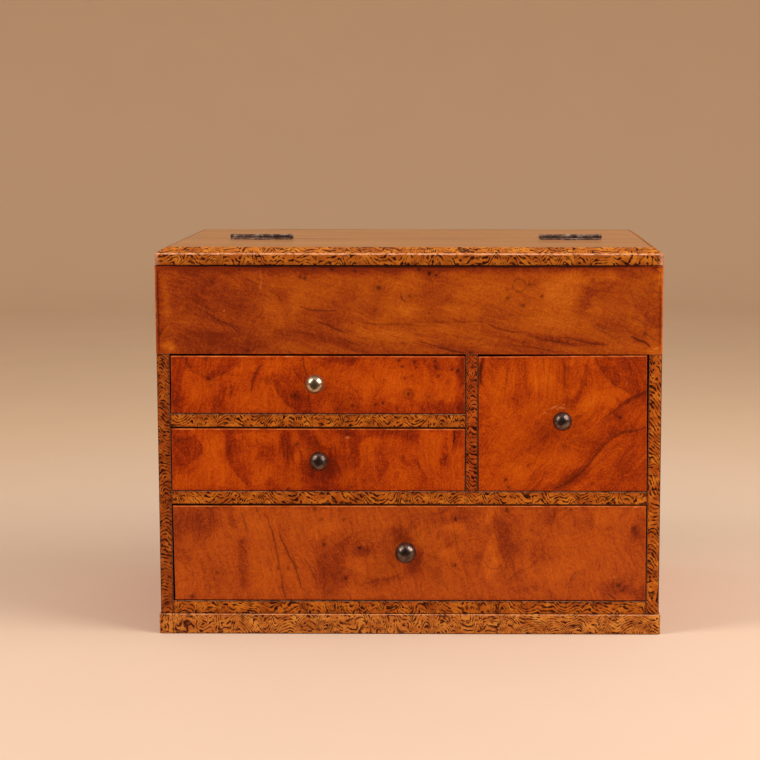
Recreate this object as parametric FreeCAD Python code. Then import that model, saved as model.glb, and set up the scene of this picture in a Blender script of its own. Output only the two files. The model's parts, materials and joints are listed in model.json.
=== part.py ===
import FreeCAD, Part
import os
from FreeCAD import Vector

# A small chest for sewing things. A hinged lid opens a shallow compartment at the top, behind a tall
# front board. Below it are two small drawers over each other, a taller drawer beside them, and one
# wide drawer at the bottom. Thin patterned strips face the edges of the boards, and a mitred plinth
# carries the case. Millimetres, +Z up, front towards -Y, origin at the middle of the whole thing's base.

# Case
CASE_WIDTH = 330.0
CASE_DEPTH = 215.0
WALL = 8.6                  # side boards, and the width of the strips that face them
FACING = 3.0                # thickness of the patterned strips on the front
VENEER = 1.2                # thickness of the burl sheet over the upper front board
BACK_THICKNESS = 6.0
BACK_REBATE = 4.0           # how far the back panel is let into each side
HOUSING = 3.0               # how far a shelf is let into the side that carries it
CORNER_ROUND = 1.5          # worn outer corners of the front
ARRIS_ROUND = 0.4           # broken edges of boards and strips

# Heights on the front, from the base up
PLINTH_TOP = 13.4
BOTTOM_RAIL_TOP = 22.1
MIDDLE_RAIL_BOTTOM = 87.0
MIDDLE_RAIL_TOP = 95.75
SMALL_RAIL_BOTTOM = 138.2
SMALL_RAIL_TOP = 147.0
UPPER_BOARD_BOTTOM = 186.5
CASE_TOP = 244.1
LID_UNDERSIDE = 244.4
LID_ARRIS = 251.9
LID_TOP = 255.8
COMPARTMENT_FLOOR = 6.0

# Places along the front
CENTRE_STILE_LEFT = 37.0
CENTRE_STILE_RIGHT = 44.7

PAST = 5.0                  # how far the outline of a cut runs past the piece

# Plinth
PLINTH_OUT = 1.0
PLINTH_WIDTH = 18.0
PLINTH_CORNER = 3.0
PLINTH_ARRIS = 1.0

# Lid and rear top board, edged with bevelled strips
BEVEL_IN = 6.9
SEAM = 94.4                 # from the front face to the seam behind the lid
SEAM_GAP = 0.4
LID_CORNER = 1.3

# Hinges
HINGE_LENGTH = 42.0
HINGE_CENTRES = (("left", -104.3), ("right", 109.0))
LEAF_THICKNESS = 0.9
LEAF_END_WIDTH = 8.0        # from the pin's axis to the outer edge, at the ends of a leaf
LEAF_LOBE_WIDTH = 12.0      # the same at the rounded lobe in the middle
LEAF_END_ROUND = 3.0
LEAF_NECK = 10.5            # where the hollow beside the lobe begins, from the leaf's middle
LEAF_HOLLOW = (7.1, 8.8)    # middle of that hollow, along the leaf and out from the pin's axis
LEAF_HIP = (5.5, 10.0)      # where the hollow runs into the lobe
PIN_RADIUS = 0.75
PIN_HEAD_RADIUS = 1.25
PIN_HEAD = 0.9              # how far a head stands out from the end knuckle
PIN_HEAD_DOME = (0.63, 1.0)  # a point on the head's dome: its distance out and its radius
PIN_HEAD_RIM = 0.18
PIN_HEAD_GAP = 0.08
KNUCKLE_BORE = 0.80
KNUCKLE_RADIUS = 1.45
KNUCKLES = 5
KNUCKLE_GAP = 0.25
AXIS_RISE = 1.75            # pin's axis above the top of the lid
LEAF_REACH = 1.75           # where a leaf stops short of the other leaf's knuckles
KNUCKLE_SEAT = 0.5          # how far a knuckle's web runs into its leaf
SCREW_PLACES = ((-15.5, 5.2), (0.0, 8.4), (15.5, 5.2))
SCREW_HEAD_RADIUS = 1.7
SCREW_RADIUS = 0.8
SCREW_LENGTH = 7.0          # with a blunt end, as hand-cut screws have

# Drawers
DRAWER_FRONT = 11.0
DRAWER_LIP = 5.0            # what the rebates leave of the front's thickness
DRAWER_SIDE = 7.0
DRAWER_BOTTOM = 4.0
DRAWER_DEPTH = 204.0
DRAWER_ARRIS = 0.7
BOX_SIDE_GAP = 1.6          # from the opening to the drawer's side board
BOX_TOP_GAP = 4.0
BOX_UNDER_GAP = 0.3

# Knobs: radius of the ball, and one turned stem for all
SMALL_KNOB = 6.3
LARGE_KNOB = 7.05
KNOB_COLLAR_RADIUS = 4.6
KNOB_COLLAR_RIM = 0.6       # straight part of the collar's edge
KNOB_COLLAR = 1.5
KNOB_FLARE_RADIUS = 3.3     # where the neck stands on the collar
KNOB_FLARE_END = 2.6
KNOB_NECK_RADIUS = 2.5
KNOB_NECK_END = 4.0
KNOB_SHANK_RADIUS = 1.95
KNOB_SHANK = 9.0
KNOB_HOLE_CLEARANCE = 0.05
KNOB_HOLE_SPARE = 0.5       # how much deeper the hole is than the shank

HALF = CASE_WIDTH / 2
INNER = HALF - WALL
KNOB_REACH = KNOB_NECK_END + LARGE_KNOB + (LARGE_KNOB**2 - KNOB_NECK_RADIUS**2) ** 0.5
# The base's middle lies halfway between the largest knob's tip and the back of the plinth.
FRONT_Y = (KNOB_REACH - CASE_DEPTH - PLINTH_OUT) / 2

# Each drawer: opening (left, right, bottom, top), then the gaps that its hand-fitted front leaves
# (left at the bottom and top, right at the bottom and top, bottom, top at the left and right),
# then where its knob stands, and the knob's size.
DRAWERS = {
    "drawer_upper_left": {
        "opening": (-INNER, CENTRE_STILE_LEFT, SMALL_RAIL_TOP, UPPER_BOARD_BOTTOM),
        "gaps": (0.6, 0.9, 0.35, 0.35, 0.35, 1.3, 1.3),
        "knob": (-60.9, 168.0, SMALL_KNOB),
    },
    "drawer_lower_left": {
        "opening": (-INNER, CENTRE_STILE_LEFT, MIDDLE_RAIL_TOP, SMALL_RAIL_BOTTOM),
        "gaps": (0.5, 0.5, 0.6, 0.5, 0.35, 0.9, 0.9),
        "knob": (-58.6, 117.4, SMALL_KNOB),
    },
    "drawer_right": {
        "opening": (CENTRE_STILE_RIGHT, INNER, MIDDLE_RAIL_TOP, UPPER_BOARD_BOTTOM),
        "gaps": (0.7, 0.35, 0.5, 1.4, 0.35, 1.5, 0.6),
        "knob": (99.7, 144.0, SMALL_KNOB),
    },
    "drawer_bottom": {
        "opening": (-INNER, INNER, BOTTOM_RAIL_TOP, MIDDLE_RAIL_BOTTOM),
        "gaps": (1.3, 0.6, 0.35, 0.7, 0.5, 1.1, 0.6),
        "knob": (-2.2, 57.0, LARGE_KNOB),
    },
}

os.makedirs("parts", exist_ok=True)


def save(node, shape):
    """Write one piece, after testing that it is a sound solid."""
    if not shape.isValid() or shape.Volume <= 0:
        raise ValueError(node + " is not a sound solid")
    shape.exportStep("parts/" + node + ".step")


def board(x, depth, z):
    """Box from pairs of limits; depth counts from the front face towards the back."""
    size = [pair[1] - pair[0] for pair in (x, depth, z)]
    return Part.makeBox(size[0], size[1], size[2], Vector(x[0], FRONT_Y + depth[0], z[0]))


def prism_up(points, z):
    """Upright prism over a plan outline, given as (x, depth) points."""
    corners = [Vector(x, FRONT_Y + depth, z[0]) for x, depth in points]
    face = Part.Face(Part.makePolygon(corners + corners[:1]))
    return face.extrude(Vector(0, 0, z[1] - z[0]))


def runs_along(edge, axis):
    """True where both ends of an edge differ only along one axis."""
    step = edge.Vertexes[-1].Point - edge.Vertexes[0].Point
    across = [abs(getattr(step, name)) for name in "xyz" if name != axis]
    return max(across) < 1e-6


def rounded(shape, radius, wanted):
    """Round the edges whose middle point and edge pass the test."""
    edges = [edge for edge in shape.Edges if wanted(edge, edge.CenterOfMass)]
    return shape.makeFillet(radius, edges)


def near(value, target):
    return abs(value - target) < 0.01


def outer_corner(shape, radius):
    """Round the upright edges at the front corners of the case."""
    def wanted(edge, middle):
        return runs_along(edge, "z") and near(abs(middle.x), HALF) and near(middle.y, FRONT_Y)
    return rounded(shape, radius, wanted)


def case_side(sign):
    """Side board: rebated for the back panel and housed for the shelves."""
    def across(a, b):
        return tuple(sorted((sign * a, sign * b)))
    side = board(across(INNER, HALF), (FACING, CASE_DEPTH), (PLINTH_TOP, CASE_TOP))
    rebate = board(across(INNER, INNER + BACK_REBATE),
                   (CASE_DEPTH - BACK_THICKNESS, CASE_DEPTH), (PLINTH_TOP, CASE_TOP))
    side = side.cut(rebate)
    for z in shelf_levels(sign):
        side = side.cut(board(across(INNER, INNER + HOUSING), (FACING, CASE_DEPTH), z))
    return rounded(side, ARRIS_ROUND * 2, lambda edge, middle: runs_along(edge, "z")
                   and near(abs(middle.x), HALF) and near(middle.y, FRONT_Y + CASE_DEPTH))


def shelf_levels(sign):
    """Heights of the boards that are let into one side; the small shelf reaches the left side only."""
    levels = [(PLINTH_TOP, BOTTOM_RAIL_TOP),
              (MIDDLE_RAIL_BOTTOM, MIDDLE_RAIL_TOP),
              (UPPER_BOARD_BOTTOM, UPPER_BOARD_BOTTOM + COMPARTMENT_FLOOR)]
    if sign < 0:
        levels.append((SMALL_RAIL_BOTTOM, SMALL_RAIL_TOP))
    return levels


def make_carcass():
    """Sides, shelves, divider and back."""
    save("side_left", case_side(-1))
    save("side_right", case_side(1))
    inside = (FACING, CASE_DEPTH - BACK_THICKNESS)
    housed = (-INNER - HOUSING, INNER + HOUSING)
    divider_x = (CENTRE_STILE_LEFT, CENTRE_STILE_RIGHT)
    divider = board(divider_x, inside, (MIDDLE_RAIL_TOP - HOUSING, UPPER_BOARD_BOTTOM + HOUSING))
    small_shelf = board((-INNER - HOUSING, CENTRE_STILE_LEFT + HOUSING), inside,
                        (SMALL_RAIL_BOTTOM, SMALL_RAIL_TOP))
    save("bay_divider", divider.cut(small_shelf))
    save("small_drawer_shelf", small_shelf)
    save("bottom_board", board(housed, inside, (PLINTH_TOP, BOTTOM_RAIL_TOP)))
    middle = board(housed, inside, (MIDDLE_RAIL_BOTTOM, MIDDLE_RAIL_TOP))
    save("middle_shelf", middle.cut(divider))
    floor_depth = (WALL, CASE_DEPTH - BACK_THICKNESS)
    floor = board(housed, floor_depth, (UPPER_BOARD_BOTTOM, UPPER_BOARD_BOTTOM + COMPARTMENT_FLOOR))
    save("compartment_floor", floor.cut(divider))
    back_x = (-INNER - BACK_REBATE, INNER + BACK_REBATE)
    back_depth = (CASE_DEPTH - BACK_THICKNESS, CASE_DEPTH)
    save("back_panel", board(back_x, back_depth, (PLINTH_TOP, CASE_TOP)))
    front = board((-INNER, INNER), (VENEER, WALL), (UPPER_BOARD_BOTTOM, CASE_TOP))
    lip = board((-HALF, HALF), (VENEER, FACING), (UPPER_BOARD_BOTTOM, CASE_TOP))
    front = front.fuse(lip).removeSplitter()
    save("upper_front_board", front.cut(divider))


def make_front_strips():
    """Burl sheet and the patterned strips that face the edges of the boards."""
    sheet = board((-HALF, HALF), (0, VENEER), (UPPER_BOARD_BOTTOM, CASE_TOP))
    save("upper_front_veneer", outer_corner(sheet, VENEER * 0.8))
    for name, x in (("left", (-HALF, -INNER)), ("right", (INNER, HALF))):
        stile = board(x, (0, FACING), (PLINTH_TOP, UPPER_BOARD_BOTTOM))
        save("stile_" + name, outer_corner(stile, CORNER_ROUND))
    centre = board((CENTRE_STILE_LEFT, CENTRE_STILE_RIGHT), (0, FACING),
                   (MIDDLE_RAIL_TOP, UPPER_BOARD_BOTTOM))
    save("stile_centre", centre)
    rails = {
        "rail_bottom": (INNER, PLINTH_TOP, BOTTOM_RAIL_TOP),
        "rail_middle": (INNER, MIDDLE_RAIL_BOTTOM, MIDDLE_RAIL_TOP),
        "rail_small_drawers": (CENTRE_STILE_LEFT, SMALL_RAIL_BOTTOM, SMALL_RAIL_TOP),
    }
    for node, (right, low, high) in rails.items():
        save(node, board((-INNER, right), (0, FACING), (low, high)))


def make_plinth():
    """Mitred frame under the case: rounded corners, and a soft arris along its top."""
    out = PLINTH_OUT
    whole = board((-HALF - out, HALF + out), (-out, CASE_DEPTH + out), (0, PLINTH_TOP))
    whole = rounded(whole, PLINTH_CORNER, lambda edge, middle: runs_along(edge, "z"))
    whole = rounded(whole, PLINTH_ARRIS, lambda edge, middle: near(middle.z, PLINTH_TOP))
    inner_x = HALF + out - PLINTH_WIDTH
    inner_depth = (PLINTH_WIDTH - out, CASE_DEPTH + out - PLINTH_WIDTH)
    ring = whole.cut(board((-inner_x, inner_x), inner_depth, (0, PLINTH_TOP)))
    for name, sign in (("left", -1), ("right", 1)):
        outline = [(sign * inner_x, inner_depth[0]),
                   (sign * (inner_x + PLINTH_WIDTH + PAST), inner_depth[0] - PLINTH_WIDTH - PAST),
                   (sign * (inner_x + PLINTH_WIDTH + PAST), inner_depth[1] + PLINTH_WIDTH + PAST),
                   (sign * inner_x, inner_depth[1])]
        save("plinth_" + name, ring.common(prism_up(outline, (0, PLINTH_TOP))))
    for name, end, corner in (("front", -out - PAST, inner_depth[0]),
                              ("back", CASE_DEPTH + out + PAST, inner_depth[1])):
        wide = inner_x + PLINTH_WIDTH + PAST
        outline = [(-inner_x, corner), (-wide, end), (wide, end), (inner_x, corner)]
        save("plinth_" + name, ring.common(prism_up(outline, (0, PLINTH_TOP))))


def bevelled_slab(depth, underside, free_end):
    """Slab with its top bevelled at both sides and at one end: two profiles cross and meet in a mitre."""
    across = [(-HALF, underside), (-HALF, LID_ARRIS), (-HALF + BEVEL_IN, LID_TOP),
              (HALF - BEVEL_IN, LID_TOP), (HALF, LID_ARRIS), (HALF, underside)]
    face = Part.Face(Part.makePolygon([Vector(x, FRONT_Y + depth[0], z) for x, z in across + across[:1]]))
    cross = face.extrude(Vector(0, depth[1] - depth[0], 0))
    joined = depth[0] + depth[1] - free_end
    inward = BEVEL_IN if joined > free_end else -BEVEL_IN
    along = [(free_end, underside), (free_end, LID_ARRIS), (free_end + inward, LID_TOP),
             (joined, LID_TOP), (joined, underside)]
    face = Part.Face(Part.makePolygon([Vector(-HALF, FRONT_Y + d, z) for d, z in along + along[:1]]))
    slab = cross.common(face.extrude(Vector(CASE_WIDTH, 0, 0)))

    def worn(edge, middle):
        at_arris = near(middle.z, LID_ARRIS) and not near(middle.y, FRONT_Y + joined)
        corner = near(abs(middle.x), HALF) and near(middle.y, FRONT_Y + free_end)
        mitre = not runs_along(edge, "x") and not runs_along(edge, "y") and middle.z > LID_ARRIS
        mitre = mitre and not near(middle.y, FRONT_Y + joined)
        return at_arris or (corner and runs_along(edge, "z")) or mitre
    return rounded(slab, LID_CORNER, worn)


def edged_slab(slab, depth, free_end, board_holes):
    """Split a bevelled slab into its board and its three mitred edge strips."""
    inner_x = HALF - BEVEL_IN
    joined = depth[0] + depth[1] - free_end
    inward = BEVEL_IN if joined > free_end else -BEVEL_IN
    outward = -PAST if joined > free_end else PAST
    z = (CASE_TOP - PAST, LID_TOP + PAST)
    inner = [(-inner_x, free_end + inward), (inner_x, free_end + inward),
             (inner_x, joined - outward), (-inner_x, joined - outward)]
    core = prism_up(inner, z)
    pieces = {"board": slab.common(core).cut(board_holes)}
    ring = slab.cut(core)
    for name, sign in (("left", -1), ("right", 1)):
        wide = sign * (HALF + PAST)
        outline = [(sign * inner_x, free_end + inward), (wide, free_end + outward),
                   (wide, joined - outward), (sign * inner_x, joined - outward)]
        pieces[name] = ring.common(prism_up(outline, z))
    outline = [(-inner_x, free_end + inward), (-HALF - PAST, free_end + outward),
               (HALF + PAST, free_end + outward), (inner_x, free_end + inward)]
    pieces["end"] = ring.common(prism_up(outline, z))
    return pieces


def axis_y():
    return FRONT_Y + SEAM


def screw(x, y):
    """Countersunk wood screw standing in a leaf, head up, with a blunt end."""
    top = LID_TOP + LEAF_THICKNESS
    profile = [(0, top), (SCREW_HEAD_RADIUS, top), (SCREW_RADIUS, LID_TOP),
               (SCREW_RADIUS, top - SCREW_LENGTH), (0, top - SCREW_LENGTH)]
    points = [Vector(x + r, y, z) for r, z in profile]
    face = Part.Face(Part.makePolygon(points + points[:1]))
    return face.revolve(Vector(x, y, 0), Vector(0, 0, 1), 360)


def hinge_screws(side):
    """All the screws of the lid leaves (side -1) or of the case leaves (side 1)."""
    return [screw(centre + along, axis_y() + side * out)
            for _, centre in HINGE_CENTRES for along, out in SCREW_PLACES]


def leaf(centre, side):
    """Stamped hinge leaf with a rounded lobe and eased ends, and its own share of the knuckles."""
    half = HINGE_LENGTH / 2
    y = axis_y()

    def at(along, out, z=LID_TOP):
        return Vector(centre + along, y + side * out, z)
    ease = LEAF_END_ROUND
    bend = ease * (1 - 0.5**0.5)    # from the corner to the middle of its quarter circle, along each side
    wide = LEAF_END_WIDTH
    neck, hollow, hip = LEAF_NECK, LEAF_HOLLOW, LEAF_HIP
    outline = Part.Wire([
        Part.LineSegment(at(-half, LEAF_REACH), at(-half, wide - ease)).toShape(),
        Part.Arc(at(-half, wide - ease), at(-half + bend, wide - bend), at(-half + ease, wide)).toShape(),
        Part.LineSegment(at(-half + ease, wide), at(-neck, wide)).toShape(),
        Part.Arc(at(-neck, wide), at(-hollow[0], hollow[1]), at(-hip[0], hip[1])).toShape(),
        Part.Arc(at(-hip[0], hip[1]), at(0, LEAF_LOBE_WIDTH), at(*hip)).toShape(),
        Part.Arc(at(*hip), at(*hollow), at(neck, wide)).toShape(),
        Part.LineSegment(at(neck, wide), at(half - ease, wide)).toShape(),
        Part.Arc(at(half - ease, wide), at(half - bend, wide - bend), at(half, wide - ease)).toShape(),
        Part.LineSegment(at(half, wide - ease), at(half, LEAF_REACH)).toShape(),
        Part.LineSegment(at(half, LEAF_REACH), at(-half, LEAF_REACH)).toShape(),
    ])
    plate = Part.Face(outline).extrude(Vector(0, 0, LEAF_THICKNESS))
    pitch = HINGE_LENGTH / KNUCKLES
    axis_z = LID_TOP + AXIS_RISE
    first = 0 if side > 0 else 1
    for index in range(first, KNUCKLES, 2):
        start = centre - half + index * pitch + KNUCKLE_GAP / 2
        length = pitch - KNUCKLE_GAP
        barrel = Part.makeCylinder(KNUCKLE_RADIUS, length, Vector(start, y, axis_z), Vector(1, 0, 0))
        reach = LEAF_REACH + KNUCKLE_SEAT
        low = y if side > 0 else y - reach
        web = Part.makeBox(length, reach, LEAF_THICKNESS, Vector(start, low, LID_TOP))
        plate = plate.fuse(barrel).fuse(web)
    bore = Part.makeCylinder(KNUCKLE_BORE, HINGE_LENGTH + 2, Vector(centre - half - 1, y, axis_z),
                             Vector(1, 0, 0))
    plate = plate.cut(bore).removeSplitter()
    return plate.cut(Part.makeCompound(hinge_screws(side)))


def pin(centre):
    """Hinge pin with a small rounded head at each end."""
    half = HINGE_LENGTH / 2
    profile = [(-half - PIN_HEAD, 0), (-half - PIN_HEAD_DOME[0], PIN_HEAD_DOME[1]),
               (-half - PIN_HEAD_RIM, PIN_HEAD_RADIUS), (-half - PIN_HEAD_GAP, PIN_HEAD_RADIUS),
               (-half - PIN_HEAD_GAP, PIN_RADIUS)]
    profile = profile + [(-along, out) for along, out in reversed(profile)]
    axis_z = LID_TOP + AXIS_RISE
    points = [Vector(centre + along, axis_y(), axis_z + out) for along, out in profile]
    face = Part.Face(Part.makePolygon(points + points[:1]))
    return face.revolve(Vector(centre, axis_y(), axis_z), Vector(1, 0, 0), 360)


def make_top_and_hinges():
    """Lid, rear top board, their edge strips and the two hinges on the seam."""
    lid_depth = (0, SEAM - SEAM_GAP / 2)
    rear_depth = (SEAM + SEAM_GAP / 2, CASE_DEPTH)
    lid_screws = Part.makeCompound(hinge_screws(-1))
    case_screws = Part.makeCompound(hinge_screws(1))
    lid = edged_slab(bevelled_slab(lid_depth, LID_UNDERSIDE, 0), lid_depth, 0, lid_screws)
    rear = edged_slab(bevelled_slab(rear_depth, CASE_TOP, CASE_DEPTH), rear_depth, CASE_DEPTH,
                      case_screws)
    save("lid_board", lid["board"])
    save("lid_edge_front", lid["end"])
    save("lid_edge_left", lid["left"])
    save("lid_edge_right", lid["right"])
    save("rear_top_board", rear["board"])
    save("rear_top_edge_back", rear["end"])
    save("rear_top_edge_left", rear["left"])
    save("rear_top_edge_right", rear["right"])
    for name, centre in HINGE_CENTRES:
        save("hinge_" + name + "_lid_leaf", leaf(centre, -1))
        save("hinge_" + name + "_case_leaf", leaf(centre, 1))
        save("hinge_" + name + "_pin", pin(centre))
    save("hinge_lid_screws", lid_screws)
    save("hinge_case_screws", case_screws)


def drawer_front(opening, gaps, knob):
    """Front with the slightly uneven outline it was planed to, rebated behind for sides and bottom."""
    left, right, bottom, top = opening
    corners = [(left + gaps[0], bottom + gaps[4]), (right - gaps[2], bottom + gaps[4]),
               (right - gaps[3], top - gaps[6]), (left + gaps[1], top - gaps[5])]
    points = [Vector(x, FRONT_Y, z) for x, z in corners]
    front = Part.Face(Part.makePolygon(points + points[:1])).extrude(Vector(0, DRAWER_FRONT, 0))
    front = rounded(front, DRAWER_ARRIS, lambda edge, middle: near(middle.y, FRONT_Y))
    inner_left = left + BOX_SIDE_GAP + DRAWER_SIDE
    inner_right = right - BOX_SIDE_GAP - DRAWER_SIDE
    behind = (DRAWER_LIP, DRAWER_FRONT)
    front = front.cut(board((left, inner_left), behind, (bottom, top)))
    front = front.cut(board((inner_right, right), behind, (bottom, top)))
    rebate_top = bottom + BOX_UNDER_GAP + DRAWER_BOTTOM
    front = front.cut(board((left, right), behind, (bottom, rebate_top)))
    hole = Part.makeCylinder(KNOB_SHANK_RADIUS + KNOB_HOLE_CLEARANCE, KNOB_SHANK + KNOB_HOLE_SPARE,
                             Vector(knob[0], FRONT_Y, knob[1]), Vector(0, 1, 0))
    return front.cut(hole)


def turned_knob(x, z, ball):
    """Ball knob on a flared neck with a collar, turned about an axis square to the drawer."""
    centre = KNOB_NECK_END + (ball**2 - KNOB_NECK_RADIUS**2) ** 0.5

    def at(out, radius):
        return Vector(x + radius, FRONT_Y - out, z)
    stem = Part.makePolygon([
        at(-KNOB_SHANK, 0),
        at(-KNOB_SHANK, KNOB_SHANK_RADIUS),
        at(0, KNOB_SHANK_RADIUS),
        at(0, KNOB_COLLAR_RADIUS),
        at(KNOB_COLLAR_RIM, KNOB_COLLAR_RADIUS),
        at(KNOB_COLLAR, KNOB_FLARE_RADIUS),
        at(KNOB_FLARE_END, KNOB_NECK_RADIUS),
        at(KNOB_NECK_END, KNOB_NECK_RADIUS),
    ])
    round_part = Part.Arc(at(KNOB_NECK_END, KNOB_NECK_RADIUS), at(centre, ball), at(centre + ball, 0))
    axis = Part.LineSegment(at(centre + ball, 0), at(-KNOB_SHANK, 0))
    outline = Part.Wire(stem.Edges + [round_part.toShape(), axis.toShape()])
    return Part.Face(outline).revolve(Vector(x, FRONT_Y, z), Vector(0, 1, 0), 360)


def make_drawer(name, opening, gaps, knob):
    """One drawer: front, two sides, back, bottom nailed up from below, and its knob."""
    left, right, bottom, top = opening
    low = bottom + BOX_UNDER_GAP
    box_x = (left + BOX_SIDE_GAP, right - BOX_SIDE_GAP)
    box_z = (low + DRAWER_BOTTOM, top - BOX_TOP_GAP)
    depth = (DRAWER_LIP, DRAWER_DEPTH)
    save(name + "_front", drawer_front(opening, gaps, knob))
    save(name + "_side_left", board((box_x[0], box_x[0] + DRAWER_SIDE), depth, box_z))
    save(name + "_side_right", board((box_x[1] - DRAWER_SIDE, box_x[1]), depth, box_z))
    save(name + "_back", board((box_x[0] + DRAWER_SIDE, box_x[1] - DRAWER_SIDE),
                               (DRAWER_DEPTH - DRAWER_SIDE, DRAWER_DEPTH), box_z))
    save(name + "_bottom", board(box_x, depth, (low, low + DRAWER_BOTTOM)))
    save(name + "_knob", turned_knob(*knob))


make_carcass()
make_front_strips()
make_plinth()
make_top_and_hinges()
for drawer_name, drawer in DRAWERS.items():
    make_drawer(drawer_name, drawer["opening"], drawer["gaps"], drawer["knob"])
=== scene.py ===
import json
import math

import bpy
import numpy as np
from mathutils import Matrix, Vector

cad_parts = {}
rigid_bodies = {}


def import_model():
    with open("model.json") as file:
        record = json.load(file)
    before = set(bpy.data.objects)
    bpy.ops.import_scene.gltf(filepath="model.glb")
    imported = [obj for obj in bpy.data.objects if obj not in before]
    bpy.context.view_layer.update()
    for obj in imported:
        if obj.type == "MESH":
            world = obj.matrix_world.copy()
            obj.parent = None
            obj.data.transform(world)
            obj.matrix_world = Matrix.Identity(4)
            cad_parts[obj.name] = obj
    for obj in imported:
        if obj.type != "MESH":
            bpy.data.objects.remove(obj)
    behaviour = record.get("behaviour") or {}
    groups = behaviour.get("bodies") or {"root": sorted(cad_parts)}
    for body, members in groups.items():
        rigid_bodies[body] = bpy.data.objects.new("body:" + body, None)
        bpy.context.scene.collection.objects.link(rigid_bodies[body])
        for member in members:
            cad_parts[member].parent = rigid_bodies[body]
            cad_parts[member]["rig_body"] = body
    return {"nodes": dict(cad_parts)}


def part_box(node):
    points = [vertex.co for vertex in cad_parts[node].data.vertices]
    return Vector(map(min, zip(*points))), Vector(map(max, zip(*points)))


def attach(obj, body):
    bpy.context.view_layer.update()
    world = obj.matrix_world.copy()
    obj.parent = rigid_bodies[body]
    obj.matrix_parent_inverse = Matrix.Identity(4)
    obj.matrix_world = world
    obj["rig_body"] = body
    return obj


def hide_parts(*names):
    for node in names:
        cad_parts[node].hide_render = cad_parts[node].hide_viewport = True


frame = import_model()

bl_info = {
    "name": "Sewing Box",
    "version": (1, 0, 0),
    "blender": (4, 5, 0),
    "location": "3D View > Sidebar > Sewing Box",
    "description": "Veneer, edging, brass and a small studio for a chest of four drawers with a hinged lid",
    "category": "Object",
}

MM = 0.001
PER_MM = 1 / MM
FAR, MANY, TINY = 1e3, 9.0, 1e-6  # a distance in millimetres, a number of half widths, a least size
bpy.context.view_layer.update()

# Shared by the pieces: the front face, the top, the case, the axis of the lid's hinges, and how thick a
# hinge leaf is and how far from the axis its plate starts.
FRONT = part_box("stile_left")[0].y
LID_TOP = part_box("lid_board")[1].z
CASE_LOW, CASE_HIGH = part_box("side_left")[0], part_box("side_right")[1]
PIN_LOW, PIN_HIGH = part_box("hinge_left_pin")
PIN_Y = (PIN_LOW.y + PIN_HIGH.y) / 2
PIN_Z = (PIN_LOW.z + PIN_HIGH.z) / 2
LEAF = 0.9 * MM
REACH = 1.75 * MM
COARSE_STEP = 1.6 * MM  # spacing of a board's points where no figure needs more

# For each way that a board can face: its right-hand and its upward direction, seen square on.
FACINGS = {
    "front": ((1, 0, 0), (0, 0, 1)),
    "back": ((-1, 0, 0), (0, 0, 1)),
    "right": ((0, 1, 0), (0, 0, 1)),
    "left": ((0, -1, 0), (0, 0, 1)),
    "top": ((1, 0, 0), (0, 1, 0)),
}

DRAWERS = ("drawer_upper_left", "drawer_lower_left", "drawer_right", "drawer_bottom")
CASE_TONES = ("#A9784A", "#7A4E2A")


def linear(text):
    """Scene-linear colour, with alpha, for an sRGB hex value."""
    srgb = np.array([int(text[i:i + 2], 16) for i in (1, 3, 5)]) / 255
    value = np.where(srgb <= 0.04045, srgb / 12.92, ((srgb + 0.055) / 1.055) ** 2.4)
    return (*(float(v) for v in value), 1.0)


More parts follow.
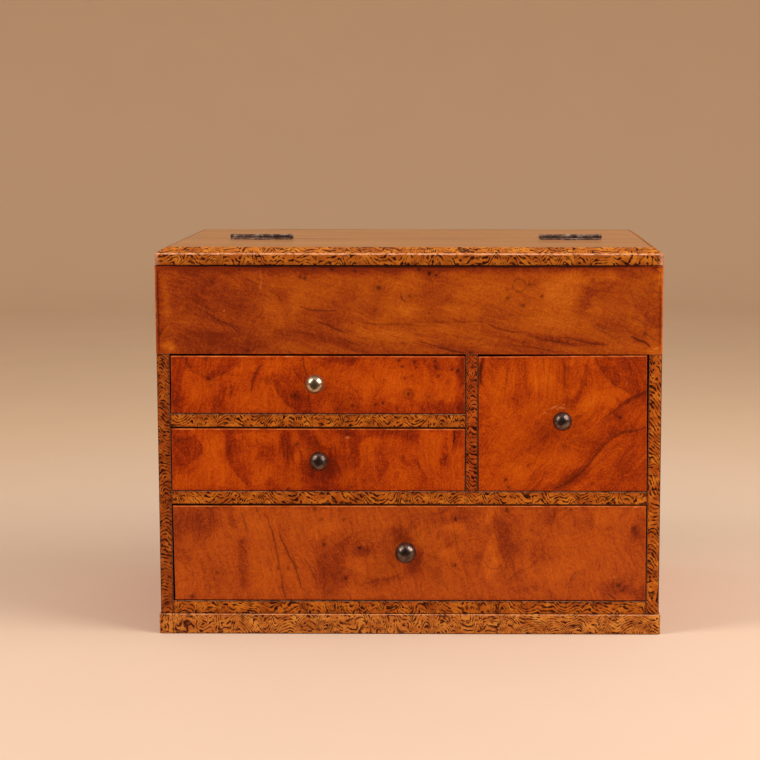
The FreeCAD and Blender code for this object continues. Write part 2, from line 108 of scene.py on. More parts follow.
# Grain figures. Places are millimetres on the front, x from the middle and z from the floor, read off the
# photograph. The grain is its slopes above and below a height, that height, and how far the change
# takes; depth is how strongly the patches show. A flame is a soft patch: middle x and z, half length, half
# width, lean in degrees from level, bow, tone (dark below zero). A fold is a patch with one crisp edge: its
# tone, how far it fades, then the points of its edge, with the patch on the left as one walks along them.
# A trace is a fine dark line: width, strength, then the points that it passes through. An eye is a pin
# knot: x, z, radius, strength. A ring is x, z, radius, width, strength. A pale mark is x, z, half length,
# half width, lean.
UPPER_BOARD = {"grain": (-3.2, -3.8, 215, 14), "depth": 1.33, "flames": [
    # the two flames at z 243 are a painted shade under the lid's edge
    (-142, 214, 40, 34, 0, 0, -0.05), (118, 214, 60, 34, 0, 0, 0.05), (-90, 243, 90, 4.5, 0, 0, -0.24),
    (60, 243, 90, 3.5, 0, 0, -0.2), (-162, 215, 30, 3, 90, 0, -0.06), (-125, 224, 34, 15, -10, 0, -0.15),
    (-122, 196, 38, 9, 0, 0, -0.18), (-90, 207, 22, 8, 80, 0, 0.1), (-106, 190, 22, 5, 8, 0, -0.12),
    (-60, 226, 18, 9, 0, 0, 0.08), (-14, 228, 18, 9, 0, 0, 0.12), (-22, 222, 13, 6, 60, 0, -0.09),
    (-42, 222, 12, 5, 30, 0, -0.08), (-8, 213, 14, 5, 20, 0, 0.14), (-20, 200, 30, 4, -8, 0, 0.1),
    (20, 214, 28, 6, -3, 0, 0.12), (46, 224, 24, 12, 0, 0, 0.12), (16, 227, 12, 8, 40, 0, -0.07),
    (5, 218, 12, 3, -10, 0, -0.08), (-62, 218, 14, 4, -10, 0, 0.1), (96, 225, 12, 17, 0, 0, 0.2),
    (90, 206, 24, 5, 0, 0, 0.09), (25, 203, 30, 4, -3, 0, 0.08), (116, 224, 16, 6, 62, 0, -0.12),
    (138, 204, 15, 6, -35, 0, -0.12), (128, 214, 9, 7, 0, 0, 0.05), (72, 196, 26, 2.4, -12, 0, -0.14),
    (104, 195, 24, 2.4, -8, 0, -0.16), (30, 190, 24, 3, -8, 0, -0.14), (84, 189, 24, 2.6, -9, 0, -0.12),
    (123, 237, 20, 4, 5, 0, 0.1), (163, 237, 7, 1.8, 90, 0, 0.42), (148, 240, 12, 3, 0, 0, -0.12),
    (-157, 191, 5, 3, -30, 0, 0.3), (161, 189, 5, 3, 0, 0, 0.24), (-78, 200, 20, 4, -20, 0, -0.1),
    (-55, 196, 26, 3, -14, 0, -0.1), (-158, 222, 14, 3.5, 90, 0, 0.14), (-30, 191, 26, 3, -12, 0, -0.08),
    (-125, 196, 10, 5, 0, 0, -0.1), (-82, 225, 5, 5, 0, 0, -0.12), (-8, 198, 22, 3, -8, 0, 0.08),
    (57, 214, 12, 6, 0, 0, -0.06), (118, 203, 20, 4, -30, 0, 0.06),
], "folds": [
    (-0.12, 9, (30, 237), (28, 228), (20, 220), (8, 215), (-3, 214)),
    (-0.16, 7, (120, 217), (117, 222), (121, 226), (128, 228), (135, 233)),
    (-0.2, 9, (143, 219), (150, 215), (156, 207), (164, 201)),
    (-0.12, 10, (131, 243), (134, 236), (128, 229), (121, 222)),
    (-0.1, 8, (-74, 218), (-68, 216), (-58, 214), (-46, 214)),
    (-0.14, 12, (-62, 209), (-52, 205.5), (-42, 200), (-34, 199)),
    (-0.12, 10, (-78, 203), (-66, 199), (-52, 195), (-36, 190)),
    (-0.14, 8, (56, 203.5), (70, 200.5), (88, 196), (102, 191)),
    (-0.14, 7, (98, 198), (112, 194.5), (126, 193), (142, 193)),
    (-0.1, 8, (0, 207.5), (22, 207), (48, 207.5), (58, 204)),
    (-0.12, 12, (114, 214), (119, 206), (128, 199), (136, 195)),
], "traces": [
    (0.9, 0.5, (-141, 222), (-137, 219.5), (-130, 216), (-126, 213.5)),
    (0.9, 0.55, (-137, 216.5), (-131, 213.5), (-125, 209), (-117, 205.5), (-110, 200)),
    (0.8, 0.3, (-134, 211), (-126, 207.5), (-118, 204)),
    (1.0, 0.45, (-109, 237), (-100, 233), (-92, 229.5)), (1.2, 0.4, (-92, 229), (-87, 226), (-82, 221)),
    (1.1, 0.5, (-72, 218.5), (-65, 215.5), (-55, 215), (-46, 215)),
    (1.2, 0.65, (-60, 208), (-54, 206), (-48, 203), (-42, 200)),
    (1.1, 0.45, (-43, 197), (-38, 194), (-31, 192)), (0.8, 0.28, (-80, 202), (-70, 200.5), (-60, 198)),
    (1.0, 0.42, (-34, 208), (-24, 206), (-10, 206), (4, 206.5)),
    (0.8, 0.3, (-14, 208.5), (-4, 206), (8, 205), (26, 205)),
    (0.9, 0.32, (0, 207.8), (22, 207.4), (44, 208), (51, 207)),
    (1.2, 0.5, (50, 207.5), (56, 203.8), (64, 202), (75, 200)),
    (1.0, 0.35, (75, 199), (86, 196.5), (97, 194)),
    (1.3, 0.5, (85, 196.3), (94, 195), (102, 194), (110, 192)),
    (1.1, 0.45, (98, 198), (106, 196.6), (114, 194.6)), (1.4, 0.45, (112, 194.6), (120, 193.6), (131, 193)),
    (0.9, 0.28, (20, 200), (36, 197.5), (52, 195.5)),
    (1.0, 0.4, (60, 193.5), (72, 192), (84, 190.5), (96, 188)),
    (1.4, 0.55, (16, 191.5), (24, 190), (31, 188), (38, 187.2)),
    (0.9, 0.32, (6, 195), (14, 193), (26, 191)), (0.9, 0.32, (117, 206), (124, 202.5), (134, 197.5)),
    (0.8, 0.28, (120, 209), (126, 204), (136, 200)),
    (1.7, 0.85, (143.5, 199), (148, 196.5), (153, 194.5), (157.5, 191)),
    (1.0, 0.35, (150, 202), (156, 199), (163, 194)), (1.0, 0.3, (142, 212), (151, 208), (163, 202)),
    (0.9, 0.3, (146, 232), (151, 225), (156, 220), (163, 214)),
    (0.8, 0.28, (150, 233), (155, 226), (163, 219)), (0.8, 0.28, (153, 235), (158, 229), (164, 224)),
    (0.8, 0.22, (144, 237), (143, 230), (146, 223), (153, 216)),
    (1.2, 0.55, (-5, 226.5), (-4.5, 223), (-2, 219.5)), (1.0, 0.45, (158, 243), (161, 241), (163, 237.5)),
    (0.7, 0.22, (-28, 201), (-14, 198.5), (0, 196.5)), (0.7, 0.2, (28, 211.5), (44, 211), (60, 208)),
    (0.8, 0.22, (60, 213), (74, 211.5), (88, 212)), (0.8, 0.24, (133, 232), (128, 226), (122, 222)),
    (0.8, 0.25, (100, 192), (112, 190), (124, 189.6)), (0.7, 0.2, (-60, 191), (-46, 189.5), (-30, 189)),
    # this trace along z 243.7 is a painted shadow in the gap under the lid
    (1.9, 1.15, (-165.5, 243.7), (-60, 243.8), (60, 243.8), (165.5, 243.7)),
    (0.9, 0.7, (-162.9, 186), (-162.8, 200), (-163.0, 228), (-162.8, 244)),
    (0.8, 0.6, (162.9, 186), (163.0, 205), (162.8, 228), (162.9, 244)),
], "eyes": [
    (-19.5, 230, 1.6, 0.75), (-70.5, 237, 1.1, 0.75), (-67.5, 236, 1.1, 0.75), (-50, 242, 1.3, 0.7),
    (-35, 241, 1.0, 0.65), (-74, 240.5, 0.9, 0.5), (-62, 242.3, 0.9, 0.55), (-110, 241.5, 0.9, 0.55),
    (6.5, 242, 1.2, 0.75), (13.5, 239.3, 1.4, 0.9), (17.5, 238, 1.2, 0.8), (13, 213, 0.9, 0.4),
    (64, 223.3, 1.3, 0.65), (66, 226, 0.8, 0.45), (63.5, 229, 0.8, 0.35), (78, 232, 1.1, 0.65),
    (81.5, 232, 0.8, 0.4), (86.5, 224.5, 1.1, 0.6), (74, 218.5, 1.3, 0.55), (-4, 194, 0.9, 0.45),
    (-162, 199.5, 1.3, 0.55), (-105, 189, 1.5, 0.5), (-79.5, 212, 0.9, 0.35), (-127, 233, 1.6, 0.35),
    (96, 214, 0.7, 0.3), (153.5, 200, 1.6, 0.45), (0.5, 224.5, 1.0, 0.6), (119, 235, 1.2, 0.3),
    (75, 194.5, 0.8, 0.45), (103, 195, 0.8, 0.5), (-120, 214, 0.7, 0.25), (-131, 188, 2.0, 0.3),
    (40, 187.3, 1.6, 0.6), (-22, 214, 1.6, 0.22),
], "rings": [
    (71.5, 231.5, 4.2, 0.6, 0.36), (150, 231, 6.5, 0.6, 0.18), (150, 231, 8.5, 0.6, 0.16),
    (-19.5, 230, 3.4, 0.7, 0.16),
], "pale": [
    (-96, 232, 2.5, 0.25, 88), (-96, 238.5, 2.5, 0.25, 92), (-120, 214.5, 0.5, 0.5, 0),
    (161, 190.5, 1.4, 0.4, 20),
]}

UPPER_LEFT = {"grain": (0.35, 0.15, 166, 8), "depth": 0.93, "flames": [
    (-119, 178, 12, 3.2, 27, 0, -0.1), (-100.5, 171, 10, 1.7, 70, 0, -0.16), (-66, 153, 9, 8, 0, 0, -0.2),
    (-152, 166, 20, 5, 90, 0, -0.26), (34.5, 166, 22, 3, 90, 0, -0.2), (24, 151.5, 16, 3.5, 0, 0, -0.24),
    (-28, 150, 22, 3, 0, 0, -0.16), (-44, 182.5, 16, 3.5, 0, 0, -0.2), (-145, 182, 8, 3, -55, 0, -0.16),
    (-137, 152, 18, 5, 0, 0, -0.08), (-95, 155, 15, 7, 0, 0, 0.1), (-14, 168, 18, 9, 0, 0, 0.18),
    (-105, 179, 8, 5, 0, 0, 0.12), (18, 164, 13, 8, 0, 0, 0.14), (-135, 162, 10, 6, 30, 0, 0.12),
    (-38, 168, 14, 7, -30, 0, 0.11), (-88, 178, 9, 5, 0, 0, 0.08), (20, 180, 18, 4, 0, 0, -0.12),
    (5, 152, 10, 4, 0, 0, -0.08), (-22, 172, 8, 1.8, -45, 0, -0.08), (-127, 152, 8, 3, 90, 0, -0.1),
], "folds": [
    (-0.26, 6, (-134, 169), (-127, 171), (-118, 175), (-108, 182.5)),
    (-0.28, 6, (-121, 147), (-120.5, 156), (-119.5, 163), (-116.5, 171)),
    (-0.3, 14, (-90, 177), (-88.5, 170), (-87, 163), (-83, 157), (-78, 152), (-70, 148.5)),
    (-0.18, 8, (-77, 182), (-74, 174), (-70, 168.5), (-66, 165)),
    (-0.16, 10, (-46, 149), (-42, 155), (-34, 157), (-28, 153), (-26, 148)),
], "traces": [
    (1.8, 0.5, (-96, 180), (-99.5, 175), (-102, 169), (-103.2, 162)), (1.0, 0.3, (-100, 184), (-99.5, 180)),
    (0.9, 0.35, (-89.5, 176.5), (-88, 170), (-87, 163), (-83, 157)),
    (1.1, 0.42, (-83, 157), (-78, 152.5), (-71, 149)), (1.6, 0.48, (-69, 186), (-68.6, 179), (-66.6, 172)),
    (1.0, 0.3, (-76, 180), (-74, 174), (-69, 167.5)), (1.6, 0.35, (-65.4, 160), (-65, 154), (-64, 148)),
    (1.6, 0.42, (-145.5, 184), (-144, 180), (-142, 176)),
    (0.9, 0.35, (-146, 176), (-140, 174.6), (-134, 172), (-130, 170.5)),
    (0.8, 0.22, (-148, 182), (-143, 178), (-137, 178)),
    (0.8, 0.25, (-136, 166), (-131, 165), (-126, 166.5)),
    (1.2, 0.42, (-116.2, 168), (-116.2, 162), (-117, 156)),
    (1.1, 0.3, (-40, 167), (-36.5, 164), (-33, 160.5)),
    (1.1, 0.32, (-25, 173.5), (-22.5, 170), (-19.5, 167)),
    (0.8, 0.25, (-7, 183), (-3, 184), (3, 182), (9, 178)),
    (0.8, 0.25, (-133, 169.5), (-127, 171.5), (-118, 175.5)),
    (1.2, 0.3, (-123, 163), (-125, 157), (-128, 150)), (0.7, 0.22, (-3, 170.6), (-0.5, 171.6), (2, 172.2)),
    (0.8, 0.2, (-47, 151), (-44, 155), (-39, 157), (-33, 156)),
    (0.8, 0.2, (-60, 184), (-45, 181), (-30, 184)),
], "eyes": [
    (-130.5, 170, 1.5, 0.75), (-74.5, 159.3, 1.3, 0.75), (-6.5, 182.5, 1.0, 0.75), (-4.5, 178.5, 1.0, 0.75),
    (3.5, 181.5, 1.1, 0.75), (5, 178, 0.8, 0.65), (17, 181.7, 1.1, 0.75), (17.5, 178, 1.2, 0.8),
    (28, 176.6, 1.1, 0.8), (32, 175.5, 1.2, 0.85), (19, 172.3, 1.1, 0.75), (-3, 170.6, 1.0, 0.7),
    (2, 172.2, 0.8, 0.6), (-0.5, 160.3, 1.3, 0.75), (-22, 153.6, 1.1, 0.65), (-17, 154.5, 1.1, 0.7),
    (-37, 152.4, 1.3, 0.7), (13, 158.6, 1.3, 0.42), (-92, 169, 1.2, 0.3), (-157, 155, 1.2, 0.4),
    (22, 154.5, 0.7, 0.55), (9, 150.5, 0.7, 0.6), (32, 151, 0.7, 0.6), (-47, 150.5, 0.9, 0.55),
    (25, 168, 0.7, 0.45), (-133, 183.5, 1.8, 0.45), (-13, 157, 0.6, 0.45), (-8, 151, 0.7, 0.5),
    (20, 150, 0.7, 0.5), (-16, 169.5, 0.6, 0.35), (-51, 181, 0.6, 0.4), (10, 182, 0.7, 0.45),
    (35, 183, 0.8, 0.5),
], "rings": [
    (-0.5, 160.3, 3.0, 0.8, 0.36), (-92, 169, 2.4, 0.7, 0.3), (-74.5, 159.5, 2.6, 0.7, 0.3),
    (-37, 153, 3.6, 0.8, 0.26), (-130, 171, 2.8, 0.6, 0.2), (-130, 171, 4.6, 0.6, 0.16),
    (13, 158.6, 2.8, 0.6, 0.18),
], "pale": []}

LOWER_LEFT = {"grain": (0.05, -0.15, 116, 8), "depth": 1.1, "flames": [
    (-150, 129, 9, 7, -58, 0, -0.14), (-117, 128, 10, 3.5, 94, 0, -0.14), (-93, 120, 6, 4, 0, 0, -0.12),
    # the flame at x -58, z 109 is a painted shadow below the knob
    (-79, 123, 14, 3.6, 95, 0, -0.2), (-58, 109, 13, 11, 0, 0, -0.38), (-66, 131, 11, 4.5, -58, 0, -0.26),
    (-37, 121, 12, 3.5, 82, 0, -0.14), (-42, 134, 12, 3.5, 0, 0, -0.16), (-10, 134, 16, 3.5, 0, 0, -0.16),
    (23, 117.5, 4.5, 2.4, 90, 0, -0.28), (-90, 100, 6, 4, 0, 0, -0.14), (-112, 137, 14, 2.5, 0, 0, -0.1),
    (33, 131, 7, 3, 90, 0, -0.18), (-152, 102, 8, 6, 0, 0, 0.06), (-95, 109, 11, 10, 0, 0, 0.1),
    (-128, 118, 18, 7, 90, 0, 0.15), (-25, 124, 10, 5, 80, 0, 0.14), (-44, 104, 12, 5, 30, 0, 0.12),
    (15, 122, 12, 6, 90, 0, 0.12), (-72, 103, 9, 4, 60, 0, 0.06), (-2, 106, 10, 6, 0, 0, 0.1),
    (30, 105, 8, 8, 0, 0, 0.1), (-98, 131, 9, 5, 0, 0, 0.08), (3, 131, 8, 4, 80, 0, -0.12),
    (-54, 97, 10, 3, 0, 0, -0.16), (-152, 116, 6, 3, 0, 0, -0.08), (-52, 120, 6, 8, 0, 0, -0.12),
], "folds": [
    (-0.22, 11, (-151, 106), (-146, 112), (-139, 118), (-135.5, 124), (-139, 131), (-146, 138)),
    (-0.26, 9, (-120, 138), (-121, 128), (-120, 118), (-116.5, 111), (-110, 103), (-104, 97)),
    (-0.26, 8, (-33.5, 106), (-32, 117), (-33.5, 125), (-29, 131), (-18, 134)),
    (-0.2, 8, (-22, 97), (-18, 106), (-13.5, 114), (-17, 121), (-19, 131)),
    (-0.18, 8, (13.5, 97), (11.5, 106), (6, 115), (0, 122)),
    (-0.14, 7, (-84, 137), (-84.5, 126), (-82, 114)), (-0.14, 6, (-4, 138), (-5, 132), (-3, 126)),
], "traces": [
    (1.2, 0.95, (29.7, 137), (29.6, 132), (29, 127)), (1.0, 0.4, (29, 127), (28.5, 124), (28, 121)),
    (1.2, 0.3, (-79, 131), (-80, 122), (-78.6, 113)), (1.1, 0.28, (-76, 129), (-76.4, 120), (-74.6, 112)),
    (1.1, 0.26, (-72, 126), (-71, 118), (-72, 110)), (1.0, 0.22, (-82.5, 134), (-82.8, 124), (-81.5, 114)),
    (1.2, 0.32, (-116, 111), (-110, 103.5), (-104.5, 98)), (1.4, 0.35, (-64, 137), (-61, 130), (-58, 124)),
    (0.9, 0.26, (-21, 99), (-17.5, 106), (-13, 113.5)), (1.0, 0.26, (0, 122), (6, 114), (10.5, 105)),
    (0.9, 0.24, (-42, 110), (-40, 117), (-36, 124)), (0.8, 0.2, (-30, 131), (-22, 133), (-10, 135)),
    (0.9, 0.22, (-139, 118), (-135.5, 124), (-139, 131)), (0.9, 0.2, (-68, 112), (-60, 103), (-52, 101)),
    (0.8, 0.2, (-113, 129), (-111, 122), (-108, 118)), (0.8, 0.18, (-97, 123), (-92, 118), (-87, 116)),
], "eyes": [
    (-73.5, 127, 1.5, 0.55), (-152, 129, 1.7, 0.45), (-3.5, 117.8, 1.3, 0.38), (-118, 123, 0.8, 0.4),
    (-38, 99, 0.8, 0.6), (-80, 96.8, 1.2, 0.7), (21, 137, 0.9, 0.5), (-143, 99, 0.7, 0.4),
    (-40.5, 134, 0.9, 0.5), (-30, 103.5, 1.5, 0.28), (-117, 126, 0.6, 0.4), (-50, 116, 0.7, 0.3),
    (-156, 105, 0.7, 0.4),
], "rings": [], "pale": [
    (-40.5, 131.5, 1.2, 0.7, 10),
]}

RIGHT_DRAWER = {"grain": (-0.05, 1.0, 148, 12), "depth": 1.05, "flames": [
    (46.8, 176, 12, 1.3, 88, 0, -0.3), (56, 177, 10, 3.5, 80, 0, -0.1), (101, 176, 10, 1.7, 88, 0, -0.14),
    (115, 173, 12, 2.2, 80, 0, -0.12), (75, 171, 14, 2, 90, 0, -0.08), (149, 172, 18, 8, -70, 0, -0.16),
    (141, 110, 24, 11, 42, 0, -0.14), (104, 104, 13, 6, 42, 0, -0.14), (150, 131, 9, 7, 0, 0, -0.1),
    (152, 100, 8, 10, 0, 0, -0.12), (108, 156, 7, 3.5, 35, 0, -0.18), (71, 157, 14, 5, 0, 0, -0.08),
    (60, 166, 8, 9, 0, 0, 0.14), (86, 172, 7, 9, 0, 0, 0.18), (121, 157, 13, 6, 22, 0, 0.2),
    (75, 112, 12, 8, 20, 0, 0.14), (100, 117, 13, 5, 0, 0, 0.11), (58, 150, 9, 8, 0, 0, 0.08),
    # the flame at x 92, z 134 is a painted shadow below and left of the knob
    (92, 134, 9, 5, 15, 0, -0.16), (83, 124, 14, 4, 30, 0, -0.06), (65, 130, 12, 8, 30, 0, 0.08),
    (110, 181, 10, 3, 0, 0, 0.08), (120, 137, 14, 5, 40, 0, 0.08), (128, 114, 10, 3, 45, 0, 0.06),
    (84, 104, 10, 3, 60, 0, -0.1), (50, 140, 30, 3, 90, 0, -0.08), (95, 99, 14, 3, 0, 0, -0.08),
    (112, 106, 9, 3.4, 45, 0, -0.2), (144, 156, 13, 2.4, 27, 0, -0.2), (54, 160, 20, 3, 85, 0, -0.05),
], "folds": [
    (-0.24, 13, (120.5, 187), (123, 180), (127, 174), (133, 167.5), (140, 163.5), (147, 158.5), (156, 157)),
    (-0.18, 8, (156, 158), (147, 155), (138, 149.5), (128, 144), (120, 140)),
    (-0.22, 10, (96, 97), (106, 102.5), (115, 110.5), (121, 118.5), (127, 126), (136, 133.5), (146, 136),
     (156, 139)), (-0.12, 6, (118, 184), (116, 175), (112, 166), (106, 157), (101, 152)),
    (-0.1, 7, (132, 106), (140, 111), (147, 118), (151, 127)),
    (-0.1, 7, (62, 186), (63.5, 174), (62.5, 160), (59, 148)),
], "traces": [
    (1.9, 0.5, (156, 139), (148, 136.4), (141, 135.4), (135, 132.8), (130, 129)),
    (1.8, 0.5, (131, 129.8), (126, 125), (121, 118.6), (117, 113), (112, 108)),
    (2.6, 0.4, (114, 110.5), (108, 104.5), (102, 100.6), (95, 98)),
    (2.4, 0.42, (156, 163), (149, 159.5), (142, 155.6), (135, 151)),
    (1.5, 0.42, (138, 153), (132, 148), (124, 142.4)), (1.1, 0.32, (118, 149.5), (112, 146), (107, 142)),
    (1.7, 0.4, (100.4, 183), (101.5, 177), (101.5, 169), (100, 160)),
    (0.9, 0.28, (92, 185), (91.6, 176), (90.4, 166), (90, 157)),
    (0.9, 0.28, (63, 183), (63.6, 173), (62.4, 160), (60, 151)),
    (1.1, 0.28, (75, 185), (75.5, 175), (76, 163)),
    (1.1, 0.38, (121, 185), (123, 180), (126, 175.4), (130, 170.5)),
    (1.1, 0.35, (130, 170.5), (134, 166.6), (141, 163), (146, 159)),
    (0.9, 0.28, (83, 112), (80.5, 106), (77.5, 98)), (0.8, 0.25, (143, 131), (137, 127.5), (129, 121.5)),
    (1.2, 0.25, (117, 183), (114.5, 175), (111, 165)),
    (1.9, 0.65, (47.5, 184), (46.6, 177), (46.8, 170), (48.4, 165)),
    (0.8, 0.22, (149, 124), (141, 118), (133, 112)), (0.8, 0.25, (97, 185), (97.8, 176), (97.4, 165)),
    (0.9, 0.25, (105, 184), (103.8, 177), (104, 168)), (1.0, 0.3, (87, 186), (87.6, 180), (88.2, 173)),
    (0.9, 0.24, (69.4, 185), (70.4, 176)), (0.9, 0.22, (108.4, 185), (109.4, 176), (108, 167)),
    (0.8, 0.2, (56, 170), (54, 158), (50, 148)), (0.8, 0.22, (152, 115), (146, 112), (139, 106)),
    (0.8, 0.2, (105, 131), (96, 129), (86, 122)), (0.8, 0.2, (97, 117), (91, 111), (86, 103)),
    (1.0, 0.24, (155, 127), (146, 126), (139, 123)),
], "eyes": [
    (138, 145.2, 1.2, 0.75), (63.3, 103.5, 1.0, 0.8), (65, 98.8, 1.0, 0.65), (78, 113.5, 0.9, 0.6),
    (102, 125.3, 1.9, 0.3), (133, 148, 0.7, 0.3), (68, 157.5, 1.1, 0.3), (107, 129, 2.4, 0.18),
    (89, 108.5, 0.9, 0.3), (140, 108, 0.9, 0.3), (120, 101.5, 1.1, 0.45), (85, 141, 0.9, 0.25),
    (57, 113, 0.7, 0.3), (139.5, 147, 0.5, 0.4), (103, 105, 0.9, 0.3),
], "rings": [
    (102, 125.3, 2.8, 0.7, 0.18),
], "pale": [
    (95, 152, 1.8, 0.5, 20), (99.5, 151.4, 2.2, 0.6, 0), (93, 151, 0.5, 0.5, 0), (101, 153.6, 0.6, 0.4, 0),
    (97, 150.4, 0.6, 0.5, 0), (89, 148, 0.3, 1.2, 80), (142, 167.5, 0.3, 1.0, 0),
]}

